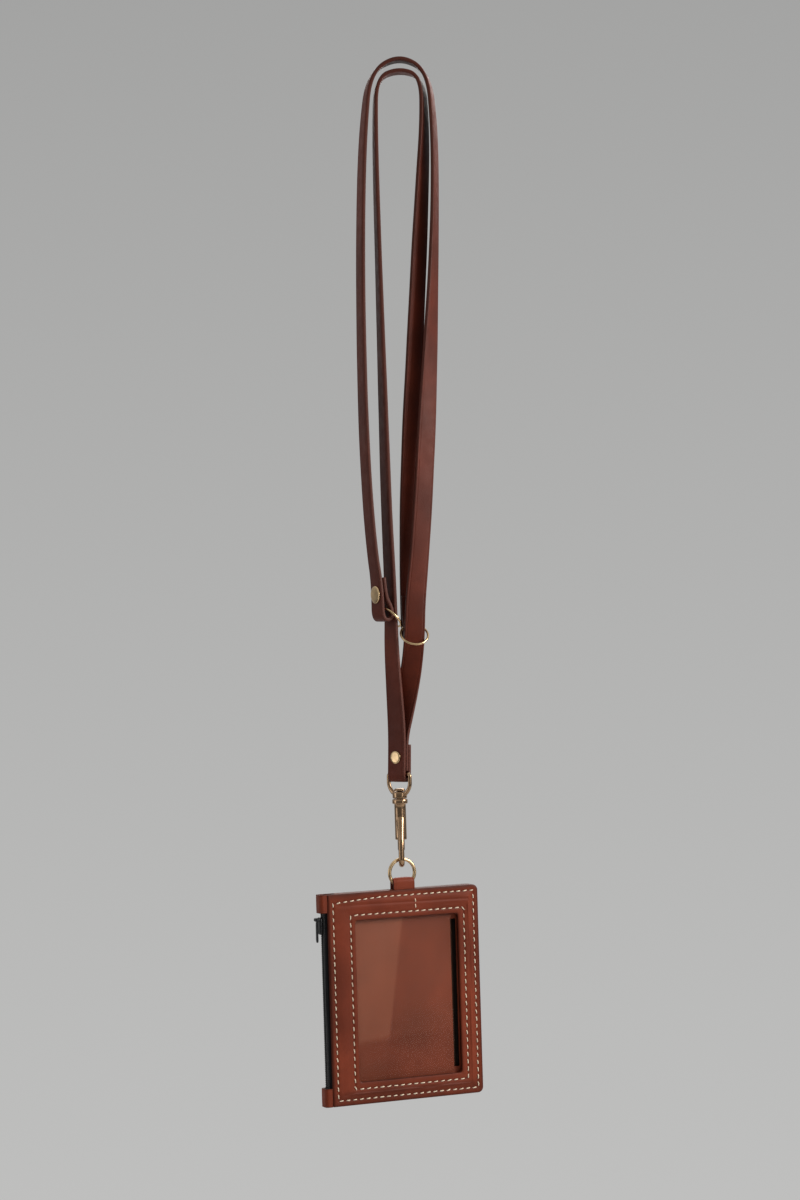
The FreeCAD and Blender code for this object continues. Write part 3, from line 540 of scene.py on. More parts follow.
def clear_film(name):
    """Soft clear film: a faint veil that lets the leather behind show, with a glossy face."""
    material, tree, shader = start_finish(name, Alpha=0.08, IOR=1.49)
    place = add(tree, "TexCoord").outputs["Object"]
    cloud = noise(tree, place, 30.0, 2.0)
    tone = blend_colour(tree, spread(tree, cloud, 0.3, 0.7), FILM_DARK, FILM_PALE)
    link(tree, shader, Base_Color=tone, Roughness=spread(tree, cloud, 0.3, 0.7, 0.16, 0.24))
    return material


_finishes = {}


def finish(key):
    """One shared material for each finish, made when it is first asked for."""
    if key not in _finishes:
        c = colours()
        makers = {
            "wallet_leather": lambda: leather("Wallet leather", c.wallet, tint(c.wallet, 0.26), 0.42),
            # The straps' edge colour is a painted highlight
            "strap_leather": lambda: leather("Strap leather", c.strap, STRAP_EDGE_HIGHLIGHT, 0.46, 1.2),
            # The leather behind the window carries the film's painted reflection
            "inner_leather": lambda: leather("Inner leather", tuple(v * 1.07 for v in c.wallet),
                                             tint(c.wallet, 0.3), 0.55, relief=0.06, film_reflection=True),
            "edge_leather": lambda: leather("Burnished edge", tuple(v * 0.36 for v in c.wallet),
                                            tint(c.wallet, 0.3), 0.36),
            "brass": lambda: aged_brass("Aged brass", c.brass),
            "caps": lambda: aged_brass("Bright brass", c.caps),
            "thread": lambda: twisted_thread("Cream thread", c.thread),
            "zip_tape": lambda: woven("Zip tape", c.zip_black, 420.0),
            # The lining's near-black also stands as painted shade beside the window's film
            "lining": lambda: woven("Pocket lining", LINING_AND_GAP_SHADE, 380.0),
            "zip_teeth": lambda: moulded("Zip coil", c.zip_black, 0.42),
            "zip_metal": lambda: moulded("Black enamel", c.zip_black, 0.30, 0.4),
            "spring": lambda: moulded("Spring wire", STEEL, 0.30, 1.0),
            "film": lambda: clear_film("Window film"),
        }
        _finishes[key] = makers[key]()
    return _finishes[key]


def strap_line(name, route):
    """Points along a strap in millimetres, and its width's turn there.

    The points are read from the smooth spline of the route. The turn follows the same spline's rule,
    a clamped quadratic with even knots, at the same steps.
    """
    curve = bpy.data.curves.new(name, "CURVE")
    curve.dimensions = "3D"
    curve.resolution_u = 16
    spline = curve.splines.new("NURBS")
    spline.points.add(len(route) - 1)
    places = hung(route) * MM
    spline.points.foreach_set("co", np.c_[places, np.ones(len(places))].ravel())
    spline.order_u = 3
    spline.use_endpoint_u = True
    holder = bpy.data.objects.new(name, curve)
    line = bpy.data.meshes.new_from_object(holder)
    points = np.empty(len(line.vertices) * 3)
    line.vertices.foreach_get("co", points)
    bpy.data.objects.remove(holder)
    bpy.data.meshes.remove(line)
    bpy.data.curves.remove(curve)
    points = points.reshape(-1, 3) / MM
    turns = np.array([row[3] for row in route], dtype=float)
    spans = len(route) - 2
    at = np.linspace(0, spans, len(points))
    span = np.minimum(at.astype(int), spans - 1)
    t = at - span
    first = np.where(span == 0, turns[span], (turns[span] + turns[span + 1]) / 2)
    last = np.where(span == spans - 1, turns[span + 2], (turns[span + 1] + turns[span + 2]) / 2)
    turn = (1 - t) ** 2 * first + 2 * t * (1 - t) * turns[span + 1] + t * t * last
    return points, np.radians(turn) + VIEW_TURN


STRAP_EDGE_SHARE = 0.3
STRAP_FACE_SHARE = 0.97
STRAP_CROWN_SHARE = 0.03
STRAP_ACROSS_SHARES = np.array([1.0, 0.955, 0.91, 0.86, 0.82, 0.77, 0.6, 0.3, 0.0])
CREASE_PLACE_SHARE = 0.86
CREASE_WIDTH_SHARE = 0.028
CREASE_DEPTH_SHARE = 0.075
CREASE_FINISH_SHARE = 0.25
EDGE_FINISH_SHARE = 0.85


def strap_profile(width, thickness):
    """Closed section of a bridle strap: rounded edges, and a creased line near each edge.

    Each crease is a bell curve across the width, and the face between them rises as a parabola.
    Returns the points and how much of the edge colour each one has: a painted highlight on the straps, a
    polished darker edge on the wallet's tabs.
    """
    round_off = thickness * STRAP_EDGE_SHARE
    flat = width / 2 - round_off
    half = thickness / 2 - round_off
    across = np.concatenate([STRAP_ACROSS_SHARES, -STRAP_ACROSS_SHARES[-2::-1]]) * flat
    from_crease = (np.abs(across) / flat - CREASE_PLACE_SHARE) / CREASE_WIDTH_SHARE
    sunk = np.exp(-from_crease ** 2) * thickness * CREASE_DEPTH_SHARE
    crown = (1 - (across / flat) ** 2) * thickness * STRAP_CROWN_SHARE
    face = thickness / 2 * STRAP_FACE_SHARE - sunk + crown
    quarter = np.linspace(0, math.pi / 2, 5)[1:-1]
    side = np.r_[np.c_[flat + round_off * np.sin(quarter), half + round_off * np.cos(quarter)],
                 np.c_[flat + round_off * np.cos(quarter), -half - round_off * np.sin(quarter)]]
    profile = np.r_[np.c_[across, face], side * [-1, 1], np.c_[across, -face][::-1], side[::-1]]
    creased = sunk / sunk.max() * CREASE_FINISH_SHARE
    edge = np.full(len(side), EDGE_FINISH_SHARE)
    return profile, np.r_[creased, edge, creased[::-1], edge]


def flat_strip(path, side, width, thickness):
    """A leather strip of even section along a path, with its edge finish."""
    profile, shade = strap_profile(width, thickness)
    points, faces = tube(path, side, np.tile(profile, (len(path), 1, 1)))
    return points, faces, np.tile(shade, len(path))


def make_strap(name, route, node):
    """A flat leather strap along its route, hand-cut, so that its width wavers by two slow sines."""
    s = sizes()
    path, turn = strap_line(name, route)
    keep = np.r_[True, np.diff(run_along(path)) > 1e-4]
    path, turn = path[keep], turn[keep]
    side = np.stack([np.cos(turn), np.sin(turn), np.zeros_like(turn)], axis=1)
    profile, shade = strap_profile(s.strap_width, s.strap_thickness)
    along = run_along(path)
    waver = 1 + 0.012 * np.sin(along / 23.0) + 0.008 * np.sin(along / 7.3 + 1.0)
    sections = profile[None] * np.stack([waver, np.ones_like(waver)], axis=1)[:, None]
    points, faces = tube(path, side, sections)
    uv = np.stack(np.meshgrid(along / 10, np.linspace(0, 1, len(profile)), indexing="ij"), axis=-1)
    obj = piece(name, points, faces, finish("strap_leather"), "lanyard", [node],
                uv=uv.reshape(-1, 2), edge=np.tile(shade, len(path)))
    return obj, path * MM, along[-1] * MM


ADJUSTER_WIRE = 0.6
# Turn of the strap's width at each fitting, in degrees
LEFT_RING_TURN = -58.0
RIGHT_RING_TURN = -168.0
HOOK_RIVET_TURN = -39.5
LEFT_RIVET_TURN = -60.5
RIGHT_RIVET_TURN = -164.5
RIVET_CAP_HEIGHT = 0.8
RIVET_CAP_REACH = 0.9
# Outline of a rivet's cap, as shares of its radius and of its height below the top
RIVET_CAP_SHARES = np.array([[0.30, -1.30], [0.96, -1.25], [1.0, -0.92], [1.0, -0.62], [0.97, -0.40],
                             [0.90, -0.24], [0.78, -0.13], [0.6, -0.06], [0.35, -0.015], [0.02, 0.0]])


def strap_face(turn):
    """Direction that a strap's face looks in, where its width has a given turn in degrees."""
    angle = math.radians(turn) + VIEW_TURN
    return np.array([math.sin(angle), -math.cos(angle), 0.0])


def wire_ring(name, node, turn):
    """An adjuster ring: round wire tilted by 45 degrees, so that its side in the strap's loop is high."""
    low, high = box_mm(node)
    axis = Z_AXIS - strap_face(turn)
    radius = (high[2] - low[2] - 2 * ADJUSTER_WIRE) / 2 / math.sqrt(0.5)
    points, faces = torus((low + high) / 2, axis, radius, ADJUSTER_WIRE, 84, 14)
    return piece(name, points, faces, finish("caps"), "lanyard", [node])


def domed_rivet(name, node, turn):
    """A rivet: low domed caps with a rolled rim on both faces of the layers, and a stub under each."""
    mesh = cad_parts[node].data
    spots = np.empty(len(mesh.vertices) * 3)
    mesh.vertices.foreach_get("co", spots)
    spots = spots.reshape(-1, 3) / MM
    face = strap_face(turn)
    depth = spots @ face
    middle = (spots.min(axis=0) + spots.max(axis=0)) / 2
    middle = middle - face * (middle @ face)
    parts = []
    for end, out in ((depth.max(), 1.0), (depth.min(), -1.0)):
        near = np.abs(depth - end) < RIVET_CAP_REACH
        away = spots[near] - middle - face * depth[near, None]
        profile = RIVET_CAP_SHARES * [np.linalg.norm(away, axis=1).max(), RIVET_CAP_HEIGHT]
        parts.append(revolve(profile, middle + face * end, face * out, 40))
    points, faces = joined(parts)
    return piece(name, points, faces, finish("caps"), "lanyard", [node])


class BADGE_OT_straps(bpy.types.Operator):
    """Make the two lanyard straps with their rings and rivets"""

    bl_idname = "badge.straps"
    bl_label = "Lanyard"

    def execute(self, context):
        left, left_path, left_length = make_strap("strap.left", LEFT_ROUTE, "left_strap")
        right, right_path, right_length = make_strap("strap.right", RIGHT_ROUTE, "right_strap")
        left_ring = wire_ring("adjuster_ring.left", "left_adjuster_ring", LEFT_RING_TURN)
        right_ring = wire_ring("adjuster_ring.right", "right_adjuster_ring", RIGHT_RING_TURN)
        hook_rivet = domed_rivet("rivet.hook", "hook_rivet", HOOK_RIVET_TURN)
        left_rivet = domed_rivet("rivet.left", "left_adjuster_rivet", LEFT_RIVET_TURN)
        right_rivet = domed_rivet("rivet.right", "right_adjuster_rivet", RIGHT_RIVET_TURN)
        return {"FINISHED"}


FILM_LAP = 1.6
FILM_GAP = 3.3
CORNER = 3.0
SEWN_CORNER = 0.7
OUTWARD = np.array([-1.0, 1.0, -1.0, 1.0])
WINDOW = np.array([FILM_LOW[0] + FILM_LAP, FILM_HIGH[0] + FILM_GAP, FILM_LOW[2] + FILM_LAP,
                   FILM_HIGH[2] - FILM_LAP])
SEAM = np.array([12.8, 78.8, 8.3, 100.2])
SEAM_CORNER = 1.4
SEAM_DEPTH = 0.2
SEAM_BORDER = 2.2
BORDER_CORNER = 1.6
FACE_LIFT = 0.14
FRONT_PUFF = 0.10
BACK_PUFF = 0.5
BACK_RIPPLE = 1.6
TOP_SAG = 2.3
TOP_SAG_WIDTH = 34.0
TOP_SAG_HEIGHT = 16.0
TOP_SAG_FADE = 10.0
# Darkening along the strip under the window and along the right edge
DARKENING_SHARE = 0.5
DARKENING_SIDE_SHARE = 0.8
DARKENING_SIDE_WIDTH = 4.0
BAND_DROP = 6.6
BAND_TILT = 0.012
BAND_INSET = 4.5
BAND_CREASE = 0.34
BAND_CREASE_WIDTH = 0.5
BAND_STEP = 0.13
BAND_STEP_WIDTH = 0.25

# Rows across a panel, each with its depth and its share of the edge finish: the rolled rim by its inset
# from the outside, the two seams by their distance from the seam, the window's edge by its share of the way
RIM_ROWS = [(0.30, PANEL, 1.0), (0.08, PANEL - 0.18, 1.0), (0.0, PANEL * 0.62, 1.0), (0.02, 0.55, 0.95),
            (0.12, 0.28, 0.9), (0.35, 0.10, 0.85), (0.75, 0.02, 0.7), (1.4, -0.03, 0.35)]
OUTER_SEAM_ROWS = [(-0.9, -0.02, 0.12), (-0.5, 0.06, 0.16), (-0.2, 0.17, 0.3), (0.0, SEAM_DEPTH, 0.34),
                   (0.2, 0.17, 0.3), (0.5, 0.06, 0.12), (0.9, -0.03, 0.0), (1.6, -0.10, 0.0),
                   (2.6, -FACE_LIFT, 0.0)]
WINDOW_SEAM_ROWS = [(SEAM_BORDER, -FACE_LIFT, 0.0), (1.3, -0.10, 0.0), (0.7, -0.03, 0.0), (0.45, 0.06, 0.12),
                    (0.2, 0.17, 0.3), (0.0, SEAM_DEPTH, 0.34), (-0.2, 0.17, 0.3), (-0.45, 0.06, 0.12),
                    (-0.7, -0.03, 0.0)]
WINDOW_EDGE_ROWS = [(0.35, -0.08, 0.0), (0.6, -0.09, 0.0), (0.78, -0.04, 0.15), (0.9, 0.06, 0.45),
                    (0.97, 0.25, 0.7), (1.0, 0.6, 0.9), (1.0, PANEL, 1.0)]


def outer_loop(inset):
    """Loop round a panel at a distance inside its outer edge; the hand-sewn top line sags at the left."""
    rect = np.array([0, WALLET_SIZE[0], 0, WALLET_SIZE[2]]) - OUTWARD * inset
    loop = frame_loop(*rect, max(SEWN_CORNER - inset, 0.15), max(CORNER - inset, 0.3))
    leftward = np.clip(1 - loop[:, 0] / TOP_SAG_WIDTH, 0, 1) ** 1.4
    sag = TOP_SAG * leftward * np.clip((inset - 0.75) / 2.2, 0, 1)
    loop[:, 1] -= sag * np.clip((loop[:, 1] - WALLET_SIZE[2] + TOP_SAG_HEIGHT) / TOP_SAG_FADE, 0, 1)
    return loop


def ripple(loop):
    """Slight unevenness of a soft panel: a product and a sum of slow sines across the face."""
    x, z = loop[:, 0], loop[:, 1]
    return 0.07 * np.sin(x / 9.0 + 1.2) * np.sin(z / 14.0) + 0.05 * np.sin(x / 4.1 + z / 11.0)


def edge_rows():
    """Rows of (loop, depth, shade) from a panel's inside edge over its rim to the inside of its seam."""
    seam = sizes().stitch_inset
    rows = RIM_ROWS + [(seam + inset, depth, shade) for inset, depth, shade in OUTER_SEAM_ROWS]
    return [(outer_loop(inset), depth, shade) for inset, depth, shade in rows]


def front_rows():
    """Rows of the front panel, from its outside edge to its window's edge.

    Between the two seams the face swells by a half sine.
    """
    rows = edge_rows()
    first, last = rows[-1][0], frame_loop(*(SEAM + OUTWARD * SEAM_BORDER), BORDER_CORNER, BORDER_CORNER)
    for share in np.linspace(0, 1, 11)[1:-1]:
        loop = first + (last - first) * share
        puffed = -FACE_LIFT - FRONT_PUFF * math.sin(math.pi * share)
        rows.append((loop, puffed + ripple(loop), 0.0))
    for grow, depth, shade in WINDOW_SEAM_ROWS:
        rows.append((frame_loop(*(SEAM + OUTWARD * grow), SEAM_CORNER, SEAM_CORNER), depth, shade))
    radius = sizes().window_corner
    for share, depth, shade in WINDOW_EDGE_ROWS:
        rows.append((frame_loop(*(SEAM + (WINDOW - SEAM) * share), radius, radius), depth, shade))
    return rows


def back_rows():
    """Rows of the back panel, from its outside edge nearly to its middle, which swells by a quarter sine."""
    rows = edge_rows()
    first, middle = rows[-1][0], WALLET_SIZE[[0, 2]] / 2
    for share in np.linspace(0, 0.97, 26)[1:]:
        loop = first + (middle - first) * share
        puffed = -FACE_LIFT - BACK_PUFF * math.sin(math.pi / 2 * share)
        rows.append((loop, puffed + BACK_RIPPLE * ripple(loop), 0.0))
    return rows


def stacked(rows):
    """Points and edge finish of a panel from rows of (loop, depth or depths, shade)."""
    points = np.stack([np.stack([loop[:, 0], np.broadcast_to(depth, len(loop)), loop[:, 1]], axis=1)
                       for loop, depth, _ in rows])
    return points, np.repeat([shade for _, _, shade in rows], points.shape[1])


def darker_strip_and_side(points):
    """Share of darkening along the strip under the window and along the right edge."""
    x, z = points[..., 0], points[..., 2]
    strip = np.clip((SEAM[2] - 0.7 - z) / 0.8, 0, 1)
    side = np.clip((x - WALLET_SIZE[0] + DARKENING_SIDE_WIDTH) / 3.0, 0, 1)
    return DARKENING_SHARE * np.maximum(strip, DARKENING_SIDE_SHARE * side).ravel()


def pressed_band(points):
    """Depth of the crease under the top band, which is a second layer turned over the edge.

    The crease is a bell curve across a slightly tilted line, and the band rises above it in a soft step.
    """
    x, z = points[..., 0], points[..., 2]
    line = WALLET_SIZE[2] - BAND_DROP - BAND_TILT * (x - 40.0)
    inside = np.clip((x - BAND_INSET) / 2, 0, 1) * np.clip((WALLET_SIZE[0] - BAND_INSET - x) / 2, 0, 1)
    crease = BAND_CREASE * np.exp(-((z - line) / BAND_CREASE_WIDTH) ** 2)
    step = BAND_STEP / (1 + np.exp(-(z - line - 0.4) / BAND_STEP_WIDTH)) * (z < WALLET_SIZE[2] - 4.2)
    return inside * (crease - step)


class BADGE_OT_panels(bpy.types.Operator):
    """Make the wallet's front and back leather"""

    bl_idname = "badge.panels"
    bl_label = "Wallet panels"

    def execute(self, context):
        points, shade = stacked(front_rows())
        shade = np.maximum(shade, darker_strip_and_side(points))
        points[..., 1] += pressed_band(points) * (points[..., 1] < 0.5)
        faces = quads(*points.shape[:2], wrap_rows=True, wrap_columns=True)
        piece("panel.front", points.reshape(-1, 3) + WALLET_LOW, faces, finish("wallet_leather"), "wallet",
              ["front_panel"], edge=shade)
        points, shade = stacked(back_rows())
        points[..., 1] = WALLET_SIZE[1] - points[..., 1]
        faces = [face[::-1] for face in capped(*points.shape[:2])]
        piece("panel.back", points.reshape(-1, 3) + WALLET_LOW, faces, finish("wallet_leather"), "wallet",
              ["back_panel"], edge=shade)
        return {"FINISHED"}


FILM_GRID = (80, 120)
FILM_THICKNESS = 0.22
FILM_SEAT = 0.08
FILM_HELD_SHARES = (0.12, 0.08)
FILM_BOW = 0.10
FILM_WAVE = 0.05


class BADGE_OT_film(bpy.types.Operator):
    """Make the clear film behind the window, which waves a little where its edges don't hold it"""

    bl_idname = "badge.film"
    bl_label = "Window film"

    def execute(self, context):
        u, v = unit_grid(*FILM_GRID)
        x = FILM_LOW[0] + (FILM_HIGH[0] - FILM_LOW[0]) * u
        z = FILM_LOW[2] + (FILM_HIGH[2] - FILM_LOW[2]) * v
        beside, above = FILM_HELD_SHARES
        free = np.clip(np.minimum.reduce([u / beside, v / above, (1 - v) / above]), 0, 1)
        wave = FILM_BOW * np.sin(math.pi * (0.15 + 0.7 * u)) + FILM_WAVE * np.sin(3.4 * u + 4.2 * v + 0.6)
        front = PANEL + FILM_SEAT - free * wave
        points, faces = slab(x, front, front + FILM_THICKNESS, z)
        piece("window.film", points + WALLET_LOW, faces, finish("film"), "wallet",
              ["window_film"])
        return {"FINISHED"}


TAB_THICKNESS = 1.25
TAB_DROP = 0.35
TAB_FINISH_SHARE = 0.8


class BADGE_OT_tab(bpy.types.Operator):
    """Make the hanging tab folded over the ring, with its corners drawn down a little"""

    bl_idname = "badge.tab"
    bl_label = "Hanging tab"

    def execute(self, context):
        width = TAB_HIGH[0] - TAB_LOW[0]
        half = (TAB_HIGH[1] - TAB_LOW[1]) / 2 - TAB_THICKNESS / 2
        centre, middle = (TAB_LOW[:2] + TAB_HIGH[:2]) / 2
        top = TAB_HIGH[2] - TAB_THICKNESS / 2 - half
        leg = np.linspace(TAB_LOW[2], top, 20)
        turn = np.linspace(math.pi, 0, 18)[1:-1]
        y = middle + half * np.r_[-np.ones(len(leg)), np.cos(turn), np.ones(len(leg))]
        z = np.r_[leg, top + half * np.sin(turn), leg[::-1]]
        path = np.stack([np.full(len(y), centre), y, z], axis=1)
        points, faces, shade = flat_strip(path, X_AXIS, width, TAB_THICKNESS)
        neck = np.repeat(np.clip((z - WALLET_SIZE[2]) / 3.0, 0, 1), len(points) // len(path))
        points[:, 2] -= TAB_DROP * neck * (np.abs(points[:, 0] - centre) / width * 2) ** 3
        piece("tab", points + WALLET_LOW, faces, finish("wallet_leather"), "wallet",
              ["hang_tab"], edge=shade * TAB_FINISH_SHARE)
        return {"FINISHED"}


# Cut layers: name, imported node, finish, slot and rounding of the edges
LAYERS = (
    ("layer.backing", "card_backing", "inner_leather", "wallet_leather", 0.25),
    ("layer.pocket_welt", "pocket_welt", "edge_leather", "wallet_leather", 0.25),
    ("layer.edge_welt", "edge_welt", "edge_leather", "wallet_leather", 0.25),
    ("layer.tab_filler", "tab_filler", "edge_leather", "wallet_leather", 0.2),
    ("layer.lining", "pocket_lining", "lining", "lining", 0.08),
)


def softened(name, node, key, slot, round_off):
    """A cut layer of the wallet: its solid's faces merged, with every sharp edge rounded off."""
    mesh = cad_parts[node].data.copy()
    mesh.name = name
    cut = bmesh.new()
    cut.from_mesh(mesh)
    bmesh.ops.remove_doubles(cut, verts=cut.verts, dist=1e-6)
    bmesh.ops.dissolve_limit(cut, angle_limit=math.radians(1), verts=cut.verts, edges=cut.edges)
    sharp = [edge for edge in cut.edges if edge.calc_face_angle(0.0) > math.radians(40)]
    bmesh.ops.bevel(cut, geom=sharp, offset=round_off * MM, segments=3, profile=0.5, affect="EDGES",
                    clamp_overlap=True)
    cut.to_mesh(mesh)
    cut.free()
    placed(name, mesh, finish(key), "wallet", [node])


class BADGE_OT_layers(bpy.types.Operator):
    """Make the cut layers between the panels"""

    bl_idname = "badge.layers"
    bl_label = "Inner layers"

    def execute(self, context):
        for row in LAYERS:
            softened(*row)
        return {"FINISHED"}


def read_off(at, along, line):
    """Places on a line at given distances along it."""
    return np.stack([np.interp(at, along, values) for values in line.T], axis=1)


SEAM_STEP = 0.4


def seam_marks(line, pitch):
    """Even places along an open or closed line, with the direction there."""
    along = run_along(line)
    count = max(2, int(round(along[-1] / pitch)))
    at = (np.arange(count) + 0.5) * along[-1] / count
    ahead = read_off(at + SEAM_STEP, along, line) - read_off(at - SEAM_STEP, along, line)
    return read_off(at, along, line), unit(ahead)


STITCH_ROWS = 9
STITCH_ROUNDS = 8
STITCH_LEAN = 7
STITCH_LEAN_SPREAD = 3
STITCH_LENGTH_SPREAD = 0.05
STITCH_LIFT_SPREAD = 0.03
STITCH_TAPER = 0.78
STITCH_LIFT = 0.30
STITCH_DIP = 0.55


def stitch_row(line, depth, outward_sign, seed):
    """Thread stitches along a line in the wallet's face: each dips into its holes and leans a little.

    Along a stitch, the thread's height falls with the cube of the distance from its middle, and its
    radius with the square root of one less the fifth power.
    """
    s = sizes()
    rng = np.random.default_rng(seed)
    t = np.linspace(-1, 1, STITCH_ROWS)
    a = round_angles(STITCH_ROUNDS)
    swell = s.thread_radius * np.sqrt(np.clip(1 - STITCH_TAPER * np.abs(t) ** 5, 0.05, 1))
    faces = capped(STITCH_ROWS, STITCH_ROUNDS)
    groups = []
    for place, way in zip(*seam_marks(line, s.stitch_pitch)):
        lean = math.radians(STITCH_LEAN + rng.normal(0, STITCH_LEAN_SPREAD))
        way = np.array([way[0] * math.cos(lean) - way[1] * math.sin(lean),
                        way[0] * math.sin(lean) + way[1] * math.cos(lean)])
        across = np.array([-way[1], way[0]])
        length = s.stitch_length * (1 + rng.normal(0, STITCH_LENGTH_SPREAD))
        lift = STITCH_LIFT - STITCH_DIP * np.abs(t) ** 3 + rng.normal(0, STITCH_LIFT_SPREAD)
        x = place[0] + way[0] * t[:, None] * length / 2 + across[0] * swell[:, None] * np.cos(a)
        z = place[1] + way[1] * t[:, None] * length / 2 + across[1] * swell[:, None] * np.cos(a)
        y = depth + outward_sign * (lift[:, None] + swell[:, None] * np.sin(a))
        groups.append((np.stack([x, y, z], axis=-1).reshape(-1, 3), faces))
    mark = np.stack(np.meshgrid(t, a / math.pi, indexing="ij"), axis=-1).reshape(-1, 2)
    points, faces = joined(groups)
    return points, faces, np.tile(mark, (len(groups), 1))


def closed(loop):
    """A loop with its first point again at its end."""
    return np.r_[loop, loop[:1]]


DIVIDER_AT = 50.6
DIVIDER_DEPTH = 0.05
DIVIDER_TOP = WALLET_SIZE[2] - 4.4
DIVIDER_LOW = SEAM[3] + 1.2


class BADGE_OT_stitches(bpy.types.Operator):
    """Sew the wallet's seams: round the edge, round the window, and the back"""

    bl_idname = "badge.stitches"
    bl_label = "Stitches"

    def execute(self, context):
        outside = closed(outer_loop(sizes().stitch_inset))
        window = closed(frame_loop(*SEAM, SEAM_CORNER, SEAM_CORNER))
        divider = np.array([[DIVIDER_AT, DIVIDER_TOP], [DIVIDER_AT, DIVIDER_LOW]])
        back = WALLET_SIZE[1] - SEAM_DEPTH
        for name, line, depth, outward_sign, seed in (
                ("stitches.edge", outside, SEAM_DEPTH, -1.0, 1),
                ("stitches.window", window, SEAM_DEPTH, -1.0, 2),
                ("stitches.divider", divider, DIVIDER_DEPTH, -1.0, 3),
                ("stitches.back", outside, back, 1.0, 4)):
            points, faces, uv = stitch_row(line, depth, outward_sign, seed)
            piece(name, points + WALLET_LOW, faces, finish("thread"), "wallet", uv=uv)
        return {"FINISHED"}


TAPE_GRID = (14, 90)
TAPE_HALF = 0.2
TAPE_BEND = 0.75
TAPE_WAVES = (0.22, 0.12)
TAPE_SWAY = 0.25
COIL_LEAN = 0.22
END_WALL = 1.1
END_BEND = 1.3


def zip_tape(name, node, towards):
    """One zip tape: a thin woven strip that bends towards the teeth, with slow waves along it."""
    low, high = wallet_box(node)
    u, v = unit_grid(*TAPE_GRID)
    x = high[0] + (low[0] - high[0]) * u
    z = low[2] + (high[2] - low[2]) * v
    out = np.clip(x / low[0], 0, 1)
    slow, quick = TAPE_WAVES
    bend = towards * out ** 2 * (TAPE_BEND + slow * np.sin(v * 9.0) + quick * np.sin(v * 23.0))
    x = x + TAPE_SWAY * out * np.sin(v * 7.0 + 0.5)
    y = (low[1] + high[1]) / 2 + bend
    points, faces = slab(x, y - TAPE_HALF, y + TAPE_HALF, z)
    piece(name, points + WALLET_LOW, faces, finish("zip_tape"), "wallet", [node])


def zip_coil(name, node, shift):
    """One row of zip teeth: a leaning turn of the coil at every pitch, on a straight core."""
    low, high = box_mm(node)
    pitch = sizes().coil_pitch
    middle, half = (low + high) / 2, (high - low) / 2
    turn, turn_faces = rounded_box((half[0] * 1.02, half[1], pitch * 0.40), 3.2, 9, 14)
    turn[:, 2] += COIL_LEAN * turn[:, 0]
    groups = []
    for index in range(int((high[2] - low[2]) / pitch) - 1):
        groups.append((turn + [middle[0], middle[1], low[2] + pitch * (index + 0.75 + shift)], turn_faces))
    core, core_faces = rounded_box((half[0] * 0.7, half[1] * 0.72, half[2] - 0.1), 6.0, 24, 16)
    points, faces = joined(groups + [(core + middle, core_faces)])
    piece(name, points, faces, finish("zip_teeth"), "wallet", [node])


def zip_end(name, node):
    """Leather tab folded round one end of the zip."""
    low, high = wallet_box(node)
    x0, y0, y1 = low[0] + END_WALL / 2, low[1] + END_WALL / 2, high[1] - END_WALL / 2
    arm = np.linspace(0, x0 + END_BEND, 14)
    back = np.linspace(y0 + END_BEND, y1 - END_BEND, 12)
    turn = np.linspace(0, math.pi / 2, 8)[1:-1]
    sine, cosine = END_BEND * np.sin(turn), END_BEND * np.cos(turn)
    path = np.r_[np.c_[arm, np.full(len(arm), y0)],
                 np.c_[x0 + END_BEND - sine, y0 + END_BEND - cosine],
                 np.c_[np.full(len(back), x0), back],
                 np.c_[x0 + END_BEND - cosine, y1 - END_BEND + sine],
                 np.c_[arm[::-1], np.full(len(arm), y1)]]
    path = np.c_[path, np.full(len(path), (low[2] + high[2]) / 2)]
    points, faces, shade = flat_strip(path, Z_AXIS, high[2] - low[2], END_WALL)
    piece(name, points + WALLET_LOW, faces, finish("wallet_leather"), "wallet", [node],
          edge=shade)


SLIDER_PLATE_HALF = 0.45
SLIDER_CLEAR = 1.2
EAR_AWAY = 1.55
EAR_AHEAD = 0.35
EAR_HALF = (1.35, 0.31, 0.95)
PULL_BORE = 0.5
PULL_ROUND = 0.12
PULL_HALF = 0.46


def zip_pivot():
    """Middle of the pull's pin, and the radius of the pull's eye round it."""
    low, high = box_mm("zip_pull")
    rim = (high[0] - low[0]) / 2
    return np.array([(low[0] + high[0]) / 2, sum(box_mm("zip_slider"))[1] / 2, high[2] - rim]), rim


def zip_slider():
    """Slider: two plates with a bridge between them, two ears and the pin for the pull."""
    pivot = zip_pivot()[0]
    low, high = box_mm("zip_slider")
    middle, half = (low + high) / 2, (high - low) / 2
    left = pivot[0] + SLIDER_CLEAR
    blocks = [((left + SLIDER_PLATE_HALF, middle[1], middle[2]), (0.48, half[1], half[2]), 4.5),
              ((high[0] - SLIDER_PLATE_HALF, middle[1], middle[2]), (SLIDER_PLATE_HALF, 1.45, half[2]), 4.5),
              (((left + high[0]) / 2, middle[1], middle[2]), ((high[0] - left) / 2, 0.26, half[2]), 8.0)]
    for side in (-EAR_AWAY, EAR_AWAY):
        blocks.append(((pivot[0] + EAR_AHEAD, middle[1] + side, pivot[2]), EAR_HALF, 3.0))
    parts = []
    for centre, sides, power in blocks:
        points, faces = rounded_box(sides, power, 18, 32)
        parts.append((points + centre, faces))
    parts.append(revolve([(0.3, -1.4), (0.35, -1.3), (0.35, 1.3), (0.3, 1.4)], pivot, Y_AXIS, 16))
    points, faces = joined(parts)
    piece("zip.slider", points, faces, finish("zip_metal"), "slider", ["zip_slider"])


